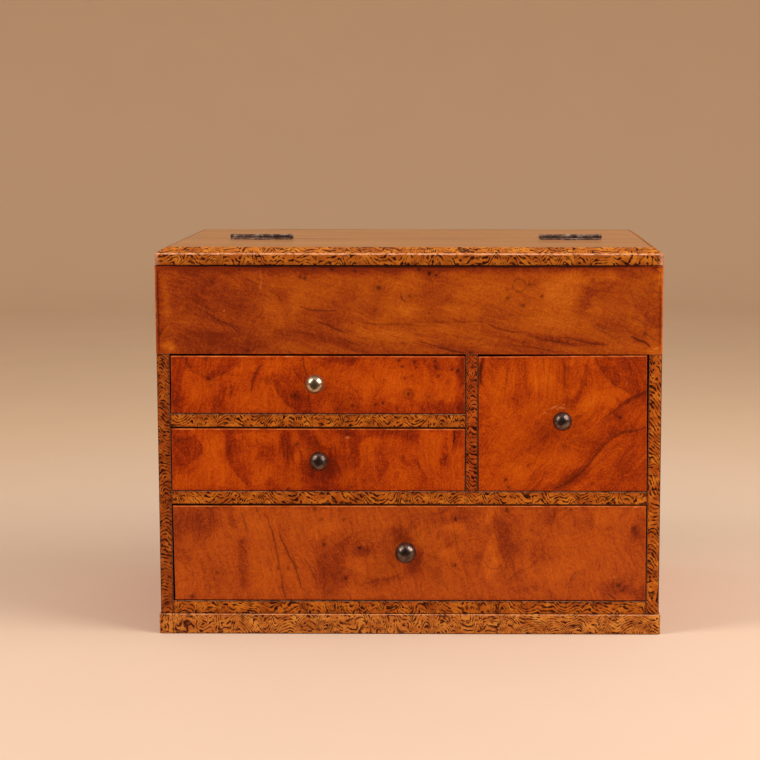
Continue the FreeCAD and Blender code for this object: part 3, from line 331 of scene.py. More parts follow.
BOTTOM_DRAWER = {"grain": (-0.25, -0.3, 55, 20), "depth": 1.35, "flames": [
    (-144, 76, 16, 10, 0, 0, -0.18), (-150, 60, 14, 6, 90, 0, -0.08), (-135, 72, 8, 14, 0, 0, -0.08),
    (-110.5, 48, 20, 3.2, 88, 0, -0.06), (-118, 76, 12, 3, 90, 0, -0.06), (-124, 38, 12, 10, 0, 0, -0.05),
    (-48, 52, 13, 8, 24, 0, -0.08), (-52, 38, 12, 8, 0, 0, -0.08), (-30, 56, 5, 4, 0, 0, -0.14),
    (-14, 56, 10, 5, -20, 0, -0.1), (-5, 66, 7, 6, 0, 0, -0.26), (-16, 36, 14, 3, 8, 0, -0.1),
    (2, 46, 8, 4, 60, 0, -0.16), (12, 78, 16, 6, 6, 0, -0.12), (36, 80, 12, 4, 10, 0, -0.08),
    (66, 76, 10, 9, 0, 0, -0.08), (64, 62, 14, 6, -75, 0, -0.1), (95, 80, 6, 2.6, 72, 0, -0.08),
    (149, 70, 9, 5, 90, 0, -0.16), (150, 28, 11, 4.5, 0, 0, -0.18), (137, 30, 10, 5, 0, 0, -0.12),
    (78, 30, 10, 3, 10, 0, -0.1), (36, 51, 6, 4, -60, 0, -0.12), (54, 50, 12, 4.6, 90, 0, 0.14),
    (54, 44, 5, 7, 0, 0, 0.1), (30, 71, 7, 4, 0, 0, 0.13), (26, 54, 7, 5, 0, 0, 0.1),
    (53, 80, 6, 1.8, 70, 0, 0.14), (96, 43, 12, 6, 0, 0, 0.1), (128, 78, 12, 6, 0, 0, 0.07),
    (-98, 70, 10, 12, 0, 0, 0.09), (-95, 42, 9, 12, 0, 0, 0.09), (-55, 70, 12, 4, 20, 0, 0.11),
    (-28, 74, 10, 6, 0, 0, 0.08), (-34, 47, 10, 4, -15, 0, 0.11), (-25, 28, 18, 4, 0, 0, 0.05),
    (110, 60, 18, 8, 0, 0, 0.07), (78, 58, 12, 3, 88, 0, 0.08), (10, 60, 5, 12, 30, 0, 0.09),
    (120, 42, 12, 6, 0, 0, 0.06), (-72, 76, 10, 4, -70, 0, 0.06), (-100, 26, 20, 2, 0, 0, -0.04),
], "folds": [
    (-0.17, 16, (-71, 72), (-66, 60), (-61.5, 50), (-59, 40), (-57.5, 28), (-57, 22)),
    (-0.16, 6, (-36, 68), (-41, 64), (-48, 60.5), (-54, 58)),
    (-0.16, 6, (-113, 70), (-113, 58), (-113, 46), (-111.5, 34), (-109, 25)),
    (-0.1, 5, (-119, 87), (-117, 78), (-117, 68)), (-0.1, 6, (-133, 87), (-131, 80), (-131.5, 72)),
    (-0.15, 13, (32, 86), (34, 77), (38, 71), (45, 67)),
    (-0.16, 7, (44, 37), (46.5, 44), (49, 54), (52, 62), (53.5, 70), (50, 76)),
    (-0.15, 15, (56, 86), (54.5, 74), (57.5, 64), (60.5, 55), (62.5, 46), (64, 40)),
    (-0.14, 9, (78.5, 64), (79.5, 54), (81, 46), (84, 38)), (-0.16, 6, (92, 71), (95, 78), (97.5, 86)),
    (-0.12, 6, (124.5, 70), (121, 75), (119.6, 81), (119.4, 86)),
    (-0.14, 7, (100, 23), (96, 28), (90, 31.5)),
    (-0.1, 10, (118, 44.5), (111, 42.5), (106.5, 38), (105, 31), (106, 24)),
    (-0.13, 6, (76, 45), (70, 41), (64.5, 35.5)), (-0.12, 9, (-9, 39.5), (-20, 36.5), (-31, 33.5)),
    (-0.14, 8, (10, 40), (7.5, 47), (9, 55), (7, 62)),
    (-0.12, 8, (-24, 50), (-21, 57), (-14, 63), (-8, 68)),
    (-0.12, 8, (128, 23), (133, 30), (141, 34), (153, 34)),
], "traces": [
    (1.1, 0.55, (-94, 82), (-92, 73), (-90, 67), (-88, 57), (-86, 47), (-85, 38)),
    (1.2, 0.55, (-85, 40), (-84, 33), (-83, 28), (-81.5, 22.6)),
    (1.4, 0.62, (-86.4, 71), (-84, 63), (-81, 57), (-79, 52), (-76, 46), (-74, 40), (-72.4, 35), (-72, 30)),
    (1.1, 0.42, (-111, 84), (-109, 77), (-107.5, 72), (-107, 67)),
    (0.9, 0.26, (-101, 86), (-99, 80), (-97, 75)),
    (0.9, 0.26, (-94, 72), (-92.4, 62), (-90.6, 55), (-89, 47)),
    (0.9, 0.24, (-92, 51), (-91, 44), (-90.5, 37)), (1.0, 0.34, (-77.5, 55), (-75, 48), (-72.6, 43)),
    (1.3, 0.48, (-69.4, 51), (-66, 45), (-64, 41), (-61.6, 36)),
    (0.9, 0.26, (-71.5, 51), (-69, 45), (-67, 41)), (0.9, 0.26, (-66, 44), (-63, 37), (-60, 31), (-59, 26)),
    (1.2, 0.22, (-79, 81), (-76, 73), (-73, 65), (-71, 57)), (1.0, 0.24, (-74, 79), (-71, 70), (-67.5, 63)),
    (0.9, 0.3, (-50, 47), (-44, 44), (-36, 42)), (0.9, 0.28, (-31, 34), (-20, 36.4), (-10, 38.6), (-4, 41)),
    (0.6, 0.26, (-105, 43.6), (-98, 43.4)), (0.6, 0.24, (-96, 30), (-84, 30.6), (-70, 31)),
    (1.0, 0.38, (-29, 63), (-27.4, 57), (-28.4, 50)), (0.8, 0.22, (-36, 68), (-42, 64), (-49, 60)),
    (0.7, 0.42, (29, 76), (30, 67), (31.2, 60), (33, 49)), (0.6, 0.2, (24, 61), (34, 62.5), (45, 64)),
    (0.8, 0.45, (50, 49), (51, 46), (54, 44), (58, 44.6), (62, 48)),
    (1.0, 0.32, (105, 27), (105.2, 34), (108, 40), (113, 43), (119, 44)),
    (1.2, 0.75, (130.5, 27.4), (133, 26), (136.5, 23)), (1.0, 0.3, (21, 38), (24, 32), (28, 26.6)),
    (1.0, 0.3, (55.6, 79), (56.8, 68), (60, 57), (62.6, 48)), (1.0, 0.3, (64, 35), (69, 40.4), (75, 44.4)),
    (1.2, 0.28, (119.4, 86), (120, 80), (121.6, 74.6), (124, 70.4)),
    (0.9, 0.26, (145, 38), (150, 36.4), (155, 32.6)), (0.9, 0.24, (10, 78.6), (18, 80.6), (28, 84.6)),
    (0.8, 0.2, (-60, 27), (-52, 28), (-44, 25)), (0.6, 0.2, (88, 59), (100, 58.4), (114, 58.8)),
    (0.6, 0.18, (-130, 58), (-118, 59), (-104, 58.6)),
    (0.8, 0.24, (2, 76), (4.6, 68), (8.6, 60), (9.6, 54)), (0.8, 0.22, (-24, 57), (-22, 50), (-20, 45)),
    (0.7, 0.2, (6, 42), (12, 50), (15, 56)), (0.8, 0.2, (97, 83), (95, 77), (92.6, 71)),
    (0.8, 0.2, (-131, 84), (-131, 77)),
], "eyes": [
    (-56, 60.3, 1.1, 0.7), (-33, 58, 1.3, 0.85), (-42, 37.3, 1.2, 0.75), (-87, 44, 0.9, 0.5),
    (-80.5, 44.2, 1.1, 0.5), (-127, 41, 1.0, 0.55), (-123.5, 40, 0.7, 0.42), (-144, 25, 1.3, 0.75),
    (-111.5, 62, 1.0, 0.42), (-58, 77, 1.1, 0.48), (-43.5, 76.8, 1.4, 0.45), (-62, 84, 1.4, 0.5),
    (-46, 41, 0.7, 0.4), (-148.5, 56.5, 0.6, 0.55), (30, 77.5, 1.2, 0.8), (30, 46.3, 1.3, 0.75),
    (17, 52.5, 1.5, 0.3), (44.5, 52, 1.3, 0.4), (64, 83.5, 1.8, 0.6), (106, 83.7, 1.0, 0.7),
    (148, 71, 1.9, 0.6), (149, 68, 1.2, 0.5), (138, 33, 1.7, 0.68), (77.5, 63, 1.2, 0.45),
    (67, 59.5, 1.4, 0.26), (130.5, 71, 0.7, 0.4), (112, 41, 0.6, 0.45), (78, 30, 1.0, 0.34),
    (-95, 80, 0.5, 0.3), (19, 65.5, 0.6, 0.4), (32, 65.5, 0.6, 0.4), (108, 37, 0.5, 0.45),
    (118, 30, 0.5, 0.45), (141, 30, 1.2, 0.45), (-129, 86, 1.0, 0.7), (-133, 85.6, 0.9, 0.6),
    (103, 85, 0.9, 0.5), (81, 70, 0.9, 0.35), (53, 49.6, 0.8, 0.5), (-53, 28, 0.9, 0.3),
], "rings": [
    (17, 52.5, 2.2, 0.6, 0.18), (-33, 56, 3.6, 0.6, 0.18), (138, 33, 4.2, 0.8, 0.18),
], "pale": [
    (135.3, 38.3, 0.5, 0.5, 0), (149, 86, 1.6, 0.6, 20),
]}


def wavy(a, b, size, seed):
    """Smooth random field between about -1 and 1: eight sine waves of like length, summed."""
    count = 8
    rng = np.random.default_rng(seed)
    turn = rng.uniform(0, 2 * np.pi, count)
    start = rng.uniform(0, 2 * np.pi, count)
    wave = 2 * np.pi / (size * rng.uniform(0.7, 1.5, count))
    total = np.zeros_like(a)
    for direction, phase, pitch in zip(turn, start, wave):
        total = total + np.sin(pitch * (a * np.cos(direction) + b * np.sin(direction)) + phase)
    return total / 4


def waves(depth, size, seed):
    """Relief of a planed face, as a function of its place: gentle waves, all in millimetres."""
    return lambda a, b: depth * MM * (1 + wavy(a / MM, b / MM, size, seed))


def chance_figure(seed, low, high, slope=0.0):
    """Grain figure for a face that the photograph doesn't show, of the same kinds of mark."""
    margin, area_each = 4, 700
    rng = np.random.default_rng(seed)
    width, height = high[0] - low[0], high[1] - low[1]
    count = int(width * height / area_each)

    def spots(number, *ranges):
        """So many places by chance, each with a value out of every range."""
        place = [rng.uniform(low[i] + margin, high[i] - margin, number) for i in (0, 1)]
        return list(zip(*place, *(rng.uniform(*pair, number) for pair in ranges)))

    def strokes(*ranges):
        """Bent strokes that hang down from their place: two measures, then three points."""
        return [(first, second, (x, z), (x + dx, z - dz / 2), (x + dx + bow, z - dz))
                for x, z, dx, dz, bow, first, second in spots(count // 2, *ranges)]
    flames = spots(count, (9, 26), (1.5, 5.5), (50, 120), (-2, 2), (-0.20, 0.18))
    eyes = spots(count // 2, (0.6, 1.3), (0.3, 0.65))
    traces = strokes((-4, 4), (8, 26), (-4, 4), (0.8, 1.4), (0.20, 0.50))
    folds = [(tone, fade, *points) for fade, tone, *points in
             strokes((-8, 8), (14, 46), (-9, 9), (4, 12), (-0.26, -0.10))]
    rings = [(x, z, radius + 1.8, 0.6, 0.18) for x, z, radius, _ in eyes[::4]]
    return {"grain": (slope, -slope, (low[1] + high[1]) / 2, 30), "depth": 0.9, "flames": flames,
            "folds": folds, "traces": traces, "eyes": eyes, "rings": rings, "pale": []}


def turned_to(a, b, x, z, lean):
    """Coordinates along and across a line through a point that leans by some degrees."""
    c, s = math.cos(math.radians(lean)), math.sin(math.radians(lean))
    return (a - x) * c + (b - z) * s, (b - z) * c - (a - x) * s


def draw_figure(a, b, plan, seed):
    """Grain of a veneer at points in millimetres, as arrays.

    Across the grain: x less the line that the grain follows, whose slope changes smoothly at one height,
    plus a bump at each eye, so that lines of equal value bend round it as rings. Along the grain: the
    direction square to the mean slope. Tone: a sum of Gaussian patches at points shifted by sine waves,
    and of folds. Mark: the darkest of the dots and rings, each a Gaussian of its distance.
    """
    tremble, sway, ripple, drift = 0.25, 1.4, 0.3, 2.2  # millimetres
    broad_tone, fine_tone = 0.05, 0.025
    eye_shade, shade_reach, eye_bump, bump_reach = 0.12, 2.6, 3.2, 3.6
    near_a = a + tremble * wavy(a, b, 7, seed)
    near_b = b + tremble * wavy(a, b, 7.5, seed + 1)
    a = near_a + sway * wavy(a, b, 17, seed + 2) + ripple * wavy(a, b, 6, seed + 3)
    b = near_b + sway * wavy(a, b, 18, seed + 4) + ripple * wavy(a, b, 6.5, seed + 5)
    tone = broad_tone * wavy(a, b, 40, seed + 6) + fine_tone * wavy(a, b, 16, seed + 7)
    for x, z, length, half, lean, bow, value in plan["flames"]:
        u, v = turned_to(a, b, x, z, lean)
        v = v - bow * (1 - (u / length) ** 2)
        tone = tone + plan["depth"] * value * np.exp(-(u / length) ** 4 - np.abs(v / half) ** 3)
    a, b = near_a, near_b
    top_slope, low_slope, height, width = plan["grain"]
    line = top_slope * (b - height) + (top_slope - low_slope) * width * np.logaddexp(0, (height - b) / width)
    mean = (top_slope + low_slope) / 2
    size = math.sqrt(1 + mean * mean)
    across = (a - line) / size + drift * wavy(a, b, 34, seed + 8)
    along = (a * mean + b) / size
    tone = tone + plan["depth"] * sum_of_folds(a, b, plan["folds"])
    line, far, dark, shade = nearest_traces(a, b, plan["traces"])
    tone = tone - shade
    mark, pale = np.zeros_like(a), np.zeros_like(a)
    for x, z, radius, value in plan["eyes"]:
        away = (a - x) ** 2 + (b - z) ** 2
        mark = np.maximum(mark, value * np.exp(-(away / radius ** 2) ** 1.5))
        tone = tone - eye_shade * value * np.exp(-away / (shade_reach * radius) ** 2)
        across = across + eye_bump * radius * np.exp(-away / (bump_reach * radius) ** 2)
    for x, z, radius, wide, value in plan["rings"]:
        gap = np.hypot(a - x, b - z) - radius
        mark = np.maximum(mark, value * np.exp(-(gap / wide) ** 2))
    for x, z, length, half, lean in plan["pale"]:
        u, v = turned_to(a, b, x, z, lean)
        pale = np.maximum(pale, np.exp(-(u / length) ** 2 - (v / half) ** 2))
    return {"across": across, "along": along, "tone": tone, "mark": mark, "pale": pale,
            "line": line, "line_far": far, "line_dark": dark}


def rounded(points):
    """Catmull-Rom curve through the points, eight steps to each span."""
    points = np.array(points, float)
    ends = np.concatenate([2 * points[:1] - points[1:2], points, 2 * points[-1:] - points[-2:-1]])
    p0, p1, p2, p3 = ends[:-3], ends[1:-2], ends[2:-1], ends[3:]
    t = np.linspace(0, 1, 8, endpoint=False)[:, None, None]
    curve = 0.5 * (2 * p1 + (p2 - p0) * t + (2 * p0 - 5 * p1 + 4 * p2 - p3) * t ** 2
                   + (3 * p1 - p0 - 3 * p2 + p3) * t ** 3)
    return np.concatenate([curve.transpose(1, 0, 2).reshape(-1, 2), points[-1:]])


def path_distance(a, b, path, reach):
    """Distance from points to a path, above zero on its left, and where the nearest place lies along it,
    from 0 to 1. Beyond the reach the distance is only large."""
    signed, share = np.full_like(a, FAR), np.zeros_like(a)
    spans = len(path) - 1
    for index, (start, end) in enumerate(zip(path[:-1], path[1:])):
        way = end - start
        size = max(np.hypot(*way), TINY)
        low, high = np.minimum(start, end) - reach, np.maximum(start, end) + reach
        close = np.flatnonzero((a > low[0]) & (a < high[0]) & (b > low[1]) & (b < high[1]))
        off_a, off_b = a[close] - start[0], b[close] - start[1]
        u = (off_a * way[0] + off_b * way[1]) / size ** 2
        v = (off_b * way[0] - off_a * way[1]) / size
        on = np.clip(u, 0, 1)
        distance = np.hypot(v, (u - on) * size)
        nearer = distance < np.abs(signed[close])
        spot = close[nearer]
        signed[spot] = np.copysign(distance, v)[nearer]
        share[spot] = ((index + on) / spans)[nearer]
    return signed, share


def fading(share):
    """Strength along a path: full in its middle and nothing at both ends."""
    return 1 - np.abs(2 * share - 1) ** 3


def sum_of_folds(a, b, folds):
    """Tone of all folds: a soft step across the edge times an exponential away from it, less at both ends."""
    softness = 0.4
    total = np.zeros_like(a)
    for value, fade, *points in folds:
        signed, share = path_distance(a, b, rounded(points), 4 * fade)
        step = 1 / (1 + np.exp(-np.clip(signed, -MANY, MANY) / softness))
        total += value * step * np.exp(-np.abs(signed) / fade) * fading(share)
    return total


def nearest_traces(a, b, traces):
    """Nearest line at each point: signed distance in half widths, the same without its sign and less a step
    of the grid, how dark the line is there, and a soft shade beside it. A line thins towards its ends."""
    thinnest, shading, grid_step = 0.15, 0.20, 1.6
    best, dark, shade = np.full_like(a, MANY), np.zeros_like(a), np.zeros_like(a)
    for wide, value, *points in traces:
        signed, share = path_distance(a, b, rounded(points), 8 * wide)
        half = 0.5 * wide * np.clip(fading(share), thinnest, 1)
        signed = np.clip(signed / half, -MANY, MANY)
        beside = np.abs(np.minimum(signed, 2 * signed + 2))
        shade = np.maximum(shade, shading * value * np.exp(-beside / 4))
        nearer = np.abs(signed) < np.abs(best)
        best[nearer], dark[nearer] = signed[nearer], value
    return best, np.abs(best) - grid_step, dark, shade


def with_figure(shape, plan, seed):
    """Add the arrays of a grain figure to a slab."""
    shape["values"].update(draw_figure(*shape["flat"], plan, seed))
    return shape


def make_mesh(name, points, faces):
    """Mesh from an array of points and arrays of faces with three or four corners."""
    mesh = bpy.data.meshes.new(name)
    mesh.vertices.add(len(points))
    mesh.vertices.foreach_set("co", np.asarray(points, np.float32).ravel())
    corners = np.concatenate([f.ravel() for f in faces]).astype(np.int32)
    sizes = np.concatenate([np.full(len(f), f.shape[1]) for f in faces])
    starts = np.concatenate([[0], np.cumsum(sizes)[:-1]]).astype(np.int32)
    mesh.loops.add(len(corners))
    mesh.loops.foreach_set("vertex_index", corners)
    mesh.polygons.add(len(sizes))
    mesh.polygons.foreach_set("loop_start", starts)
    mesh.update(calc_edges=True)
    mesh.polygons.foreach_set("use_smooth", np.ones(len(sizes), bool))
    return mesh


def add_object(name, data):
    """Object at the origin, linked to the scene."""
    added = bpy.data.objects.new(name, data)
    bpy.context.scene.collection.objects.link(added)
    return added


def add_piece(name, shape, material, nodes, sharp=35.0, back_material=None):
    """Object for a finished shape, on the body of the CAD nodes that it stands for."""
    mesh = make_mesh(name, shape["points"], shape["faces"])
    for key, values in shape.get("values", {}).items():
        attribute = mesh.attributes.new(key, "FLOAT", "POINT")
        attribute.data.foreach_set("value", np.asarray(values, np.float32))
    mesh.set_sharp_from_angle(angle=math.radians(sharp))
    mesh.materials.append(material)
    order = np.arange(len(mesh.polygons))
    if back_material is not None:
        mesh.materials.append(back_material)
        mesh.polygons.foreach_set("material_index", (order >= shape["back_from"]).astype(np.int32))
    if "flat_from" in shape:
        mesh.polygons.foreach_set("use_smooth", order < shape["flat_from"])
    piece = add_object(name, mesh)
    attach(piece, frame["nodes"][nodes[0]]["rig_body"])
    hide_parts(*nodes)
    return piece


def joined(shapes):
    """Several shapes as one, with their faces counted on."""
    points, faces, start = [], [], 0
    for shape in shapes:
        points.append(shape["points"])
        faces += [f + start for f in shape["faces"]]
        start += len(shape["points"])
    values = {key: np.concatenate([s["values"][key] for s in shapes]) for key in shapes[0]["values"]}
    return {"points": np.concatenate(points), "faces": faces, "values": values}


def axes(facing):
    """Right-hand, upward and outward directions of a face."""
    right, up = (np.array(v, float) for v in FACINGS[facing])
    return right, up, np.cross(right, up)


def seen_corners(node, facing):
    """Corners of a CAD board seen square on, from the lower left round to the upper left, with the level of
    its face and its thickness. Each corner is the point furthest along one diagonal."""
    right, up, out = axes(facing)
    mesh = frame["nodes"][node].data
    points = np.zeros(len(mesh.vertices) * 3, np.float32)
    mesh.vertices.foreach_get("co", points)
    points = points.reshape(-1, 3).astype(float)
    flat = np.stack([points @ right, points @ up], 1)
    level = points @ out
    corners = [flat[np.argmax(flat @ np.array(way))] for way in ((-1, -1), (1, -1), (1, 1), (-1, 1))]
    return np.array(corners), level.max(), level.max() - level.min()


def square_corners(node, facing):
    """The same for a square board, from its box."""
    ends = np.array([tuple(corner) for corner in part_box(node)]) @ np.stack(axes(facing), 1)
    (left, low, behind), (end, high, level) = np.sort(ends, axis=0)
    return np.array([(left, low), (end, low), (end, high), (left, high)]), level, level - behind


def four_sided(corners):
    """Outline between four corners, blended from them after each edge has moved in by its inset."""
    def outline(u, v, inset):
        left, right, low, high = inset
        (ax, ay), (bx, by), (cx, cy), (dx, dy) = corners
        across = (1 - v) * ((1 - u) * (ax + left) + u * (bx - right)) \
            + v * ((1 - u) * (dx + left) + u * (cx - right))
        upward = (1 - v) * ((1 - u) * (ay + low) + u * (by + low)) \
            + v * ((1 - u) * (dy - high) + u * (cy - high))
        return across, upward
    return outline


def cell_counts(corners, step):
    """Cells along and up a board, each about a step wide."""
    width, height = corners[2] - corners[0]
    return max(2, int(abs(width) / step)), max(2, int(abs(height) / step))


def disc(x, y, radius, turn):
    """Round outline: v runs over the disc from side to side, and u along the chord there."""
    edge = 0.045

    def outline(u, v, inset):
        r = radius - inset[0]
        t = np.cos(np.pi * (edge + (1 - 2 * edge) * v))
        along, over = r * (2 * u - 1) * np.sqrt(1 - t * t), -r * t
        return x + along * np.cos(turn) - over * np.sin(turn), y + along * np.sin(turn) + over * np.cos(turn)
    return outline


def slab(outline, level, thickness, arris, cells, facing, relief=None, back_arris=0.15 * MM,
         wear_and_highlight_by_edge=(1, 1, 1, 1)):
    """Board with a fine grid over its face and a rounded arris round it.

    The face is outline(u, v) on a grid. From the grid's rim, rings go round the arris, each at a quarter
    circle's inset r (1 - sin t) and depth r (1 - cos t), then to the back and round its arris. A fan closes
    the back. arris is one radius, or four, for the left, right, low and high edges, and the last argument
    gives how much each of them is rubbed and carries a painted highlight. relief(a, b) sinks the face by a
    depth.
    """
    arris_rings = 4
    right, up, out = axes(facing)
    radii = np.full(4, arris) if np.isscalar(arris) else np.array(arris, float)
    u, v = np.meshgrid(np.linspace(0, 1, cells[0] + 1), np.linspace(0, 1, cells[1] + 1), indexing="ij")
    ids = np.arange(u.size).reshape(u.shape)
    rim = np.concatenate([ids[:-1, 0], ids[-1, :-1], ids[:0:-1, -1], ids[0, :0:-1]])
    ru, rv = u.ravel()[rim], v.ravel()[rim]
    # radius at each point of the rim; a corner takes the mean of its two edges
    on_edge = np.stack([ru == 0, ru == 1, rv == 0, rv == 1])
    rim_radius = (radii @ on_edge) / on_edge.sum(0)
    # each rim point's share of rubbed wood and painted highlight, strongest half way round the arris
    rim_wear_and_highlight = (np.array(wear_and_highlight_by_edge, float) @ on_edge) / on_edge.sum(0)
    a, b = outline(u.ravel(), v.ravel(), radii)
    depth = np.zeros_like(a) if relief is None else relief(a, b)
    rows = [(a, b, depth, np.zeros_like(a))]
    for t in np.linspace(0, np.pi / 2, arris_rings + 1)[1:]:
        a, b = outline(ru, rv, radii * (1 - np.sin(t)))
        rows.append((a, b, rim_radius * (1 - np.cos(t)), rim_wear_and_highlight * np.sin(2 * t) ** 0.5))
    for t in (0, np.pi / 4, np.pi / 2):
        a, b = outline(ru, rv, np.full(4, back_arris * (1 - np.cos(t))))
        rows.append((a, b, np.full(len(a), thickness - back_arris * (1 - np.sin(t))), np.zeros(len(a))))
    rows.append((np.array([a.mean()]), np.array([b.mean()]), np.array([thickness]), np.zeros(1)))
    a, b, depth, wear = (np.concatenate(part) for part in zip(*rows))
    points = np.outer(a, right) + np.outer(b, up) + np.outer(level - depth, out)
    quads = np.stack([ids[:-1, :-1], ids[1:, :-1], ids[1:, 1:], ids[:-1, 1:]], -1).reshape(-1, 4)
    count, grid = len(rim), u.size
    rings = np.concatenate([rim[None], grid + np.arange((len(rows) - 2) * count).reshape(-1, count)])
    ahead = np.roll(rings, -1, axis=1)
    sides = np.stack([rings[:-1], rings[1:], ahead[1:], ahead[:-1]], -1).reshape(-1, 4)
    fan = np.stack([rings[-1], np.full(count, len(points) - 1), ahead[-1]], -1)
    corners = [outline(np.array([p]), np.array([q]), np.zeros(4))
               for p, q in ((0, 0), (1, 0), (1, 1), (0, 1))]
    return {"points": points, "faces": [quads, sides, fan],
            "values": {"wear": wear, "rim": rim_distance(a, b, np.array(corners)[..., 0]) / MM},
            "flat": (a / MM, b / MM), "back_from": len(quads) + (arris_rings + 1) * count,
            "flat_from": len(quads) + len(sides)}


def rim_distance(a, b, corners):
    """Least distance from points to the four straight edges of an outline, never below zero."""
    least = np.full(len(a), 1.0)
    for start, end in zip(corners, np.roll(corners, -1, axis=0)):
        way = (end - start) / max(np.hypot(*(end - start)), TINY * MM)
        least = np.minimum(least, (b - start[1]) * way[0] - (a - start[0]) * way[1])
    return np.maximum(least, 0)


def moulding(profile, wear, start, end, level, facing, step, near_ends):
    """Strip of one closed profile carried in a straight line.

    A profile point is its distance in from the outer face and its height. start and end are pairs: the
    place along the strip at the outer face, and how much further in it starts for each unit of that
    distance, so that 1 cuts a mitre. Fans close both ends. near_ends adds stations close to them.
    """
    behind_arris = 0.6 * MM
    right, up, out = axes(facing)
    inward, height = np.array(profile, float).T
    first, last = start[0] + start[1] * inward, end[0] - end[1] * inward
    length = end[0] - start[0]
    ease = np.array([0.0, *near_ends])
    middle = np.linspace(0, 1, max(2, int((length - 2 * ease[-1]) / step)) + 1)
    inner = ease[-1] + middle * (length - 2 * ease[-1])
    stations = np.concatenate([ease[:-1], inner, length - ease[:-1][::-1]])
    share = stations / length
    near = np.minimum(stations, length - stations)[:, None]
    # near an end a station keeps its distance from that end's cut; between, it is blended
    even = first[None] + share[:, None] * (last - first)[None]
    place = np.where(stations[:, None] <= ease[-1], first[None] + near,
                     np.where(stations[:, None] >= length - ease[-1], last[None] - near, even))
    n, m = place.shape
    points = place.ravel()[:, None] * right + (level - np.tile(inward, n))[:, None] * out \
        + np.tile(height, n)[:, None] * up
    ids = np.arange(n * m).reshape(n, m)
    nxt = np.roll(ids, -1, axis=1)
    quads = np.stack([ids[:-1], ids[1:], nxt[1:], nxt[:-1]], -1).reshape(-1, 4)
    caps = np.stack([points[ids[0]].mean(0), points[ids[-1]].mean(0)])
    points = np.concatenate([points, caps])
    begin = np.stack([ids[0], nxt[0], np.full(m, n * m)], -1)
    finish = np.stack([nxt[-1], ids[-1], np.full(m, n * m + 1)], -1)
    girth = np.concatenate([[0], np.cumsum(np.hypot(np.diff(inward), np.diff(height)))])
    inside = np.maximum(level - behind_arris - points @ out, 0)
    values = {"wear": np.concatenate([np.tile(wear, n), [0, 0]]),
              "rim": (points @ up - height.min() + inside) / MM,
              "along": np.concatenate([place.ravel(), [place[0].mean(), place[-1].mean()]]) / MM,
              "across": (np.concatenate([np.tile(girth, n), [0, 0]]) + height.min()) / MM}
    return {"points": points, "faces": [quads, begin, finish], "values": values}


def arc(centre, radius, start, end, count):
    """Points of a circular arc; angles in degrees."""
    t = np.radians(np.linspace(start, end, count))
    return [(centre[0] + radius * np.cos(x), centre[1] + radius * np.sin(x)) for x in t]


def round_upright(points, corner, radius):
    """Round an upright edge at a plan corner: each point within radius of both faces keeps its largest
    distance from the arc's centre as its true distance, which turns a square into a quarter circle."""
    sign = np.sign(np.array(corner) - np.array([0.0, (CASE_LOW.y + CASE_HIGH.y) / 2]))
    centre = np.array(corner) - sign * radius
    offset = (points[:, :2] - centre) * sign
    inside = (offset > 0).all(1)
    size = np.hypot(*offset.T)
    scale = np.where(inside, offset.max(1) / np.maximum(size, TINY * MM), 1.0)
    points = points.copy()
    points[:, :2] = centre + sign * offset * scale[:, None]
    return points


def turned(profile, origin, axis, around=64):
    """Surface of revolution. The profile is pairs of distance along the axis and radius; an end on the axis
    becomes one shared point with a fan."""
    along, radius = np.array(profile, float).T
    origin, axis = np.array(origin, float), np.array(axis, float)
    side = np.cross(axis, (0.0, 0.0, 1.0)) if abs(axis[2]) < 0.9 else np.array((1.0, 0.0, 0.0))
    side = side / np.linalg.norm(side)
    other = np.cross(axis, side)
    angle = np.linspace(0, 2 * np.pi, around, endpoint=False)
    ring = np.cos(angle)[:, None] * side + np.sin(angle)[:, None] * other
    keep = radius > TINY * MM
    body = origin + along[keep][:, None, None] * axis + radius[keep][:, None, None] * ring[None]
    ids = np.arange(keep.sum() * around).reshape(-1, around)
    nxt = np.roll(ids, -1, axis=1)
    faces = [np.stack([ids[:-1], nxt[:-1], nxt[1:], ids[1:]], -1).reshape(-1, 4)]
    points = [body.reshape(-1, 3)]
    for end, before, after in ((0, nxt[0], ids[0]), (-1, ids[-1], nxt[-1])):
        if not keep[end]:
            tip = ids.size + len(points) - 1
            points.append((origin + along[end] * axis)[None])
            faces.append(np.stack([before, after, np.full(around, tip)], -1))
    points = np.concatenate(points)
    return {"points": points, "faces": faces, "values": {"wear": np.zeros(len(points))}}


def add_node(tree, kind, settings=None, inputs=None):
    """Add a shader node, set it up, and fill its sockets: nodes and sockets are linked, values typed in."""
    node = tree.nodes.new("ShaderNode" + kind)
    for name, value in (settings or {}).items():
        setattr(node, name, value)
    enabled = [s for s in node.inputs if s.enabled]
    for key, value in (inputs or {}).items():
        socket = enabled[key] if isinstance(key, int) else next(s for s in enabled if s.name == key)
        if isinstance(value, bpy.types.Node):
            value = next(s for s in value.outputs if s.enabled)
        if isinstance(value, bpy.types.NodeSocket):
            tree.links.new(value, socket)
        else:
            socket.default_value = value
    return node


def calc(tree, operation, *values):
    """One step of arithmetic."""
    return add_node(tree, "Math", {"operation": operation}, dict(enumerate(values)))


def noise(tree, place, scale, detail=2.0, distortion=0.0, roughness=0.5):
    """Noise with so many cells to a unit of length."""
    return add_node(tree, "TexNoise", None, {"Vector": place, "Scale": scale, "Detail": detail,
                                             "Roughness": roughness, "Distortion": distortion})


def stretched(tree, place, cells, start=(0, 0, 0)):
    """Coordinates in which one cell of noise has the given size along each axis."""
    return add_node(tree, "Mapping", None, {"Vector": place, "Location": start,
                                            "Scale": [1 / size for size in cells]})


def between(tree, value, low, high, start=0.0, end=1.0, smooth=False):
    """From start to end while the value goes from low to high, straight or as a smooth step."""
    return add_node(tree, "MapRange", {"interpolation_type": "SMOOTHSTEP" if smooth else "LINEAR"},
                    {"Value": value, "From Min": low, "From Max": high, "To Min": start, "To Max": end})


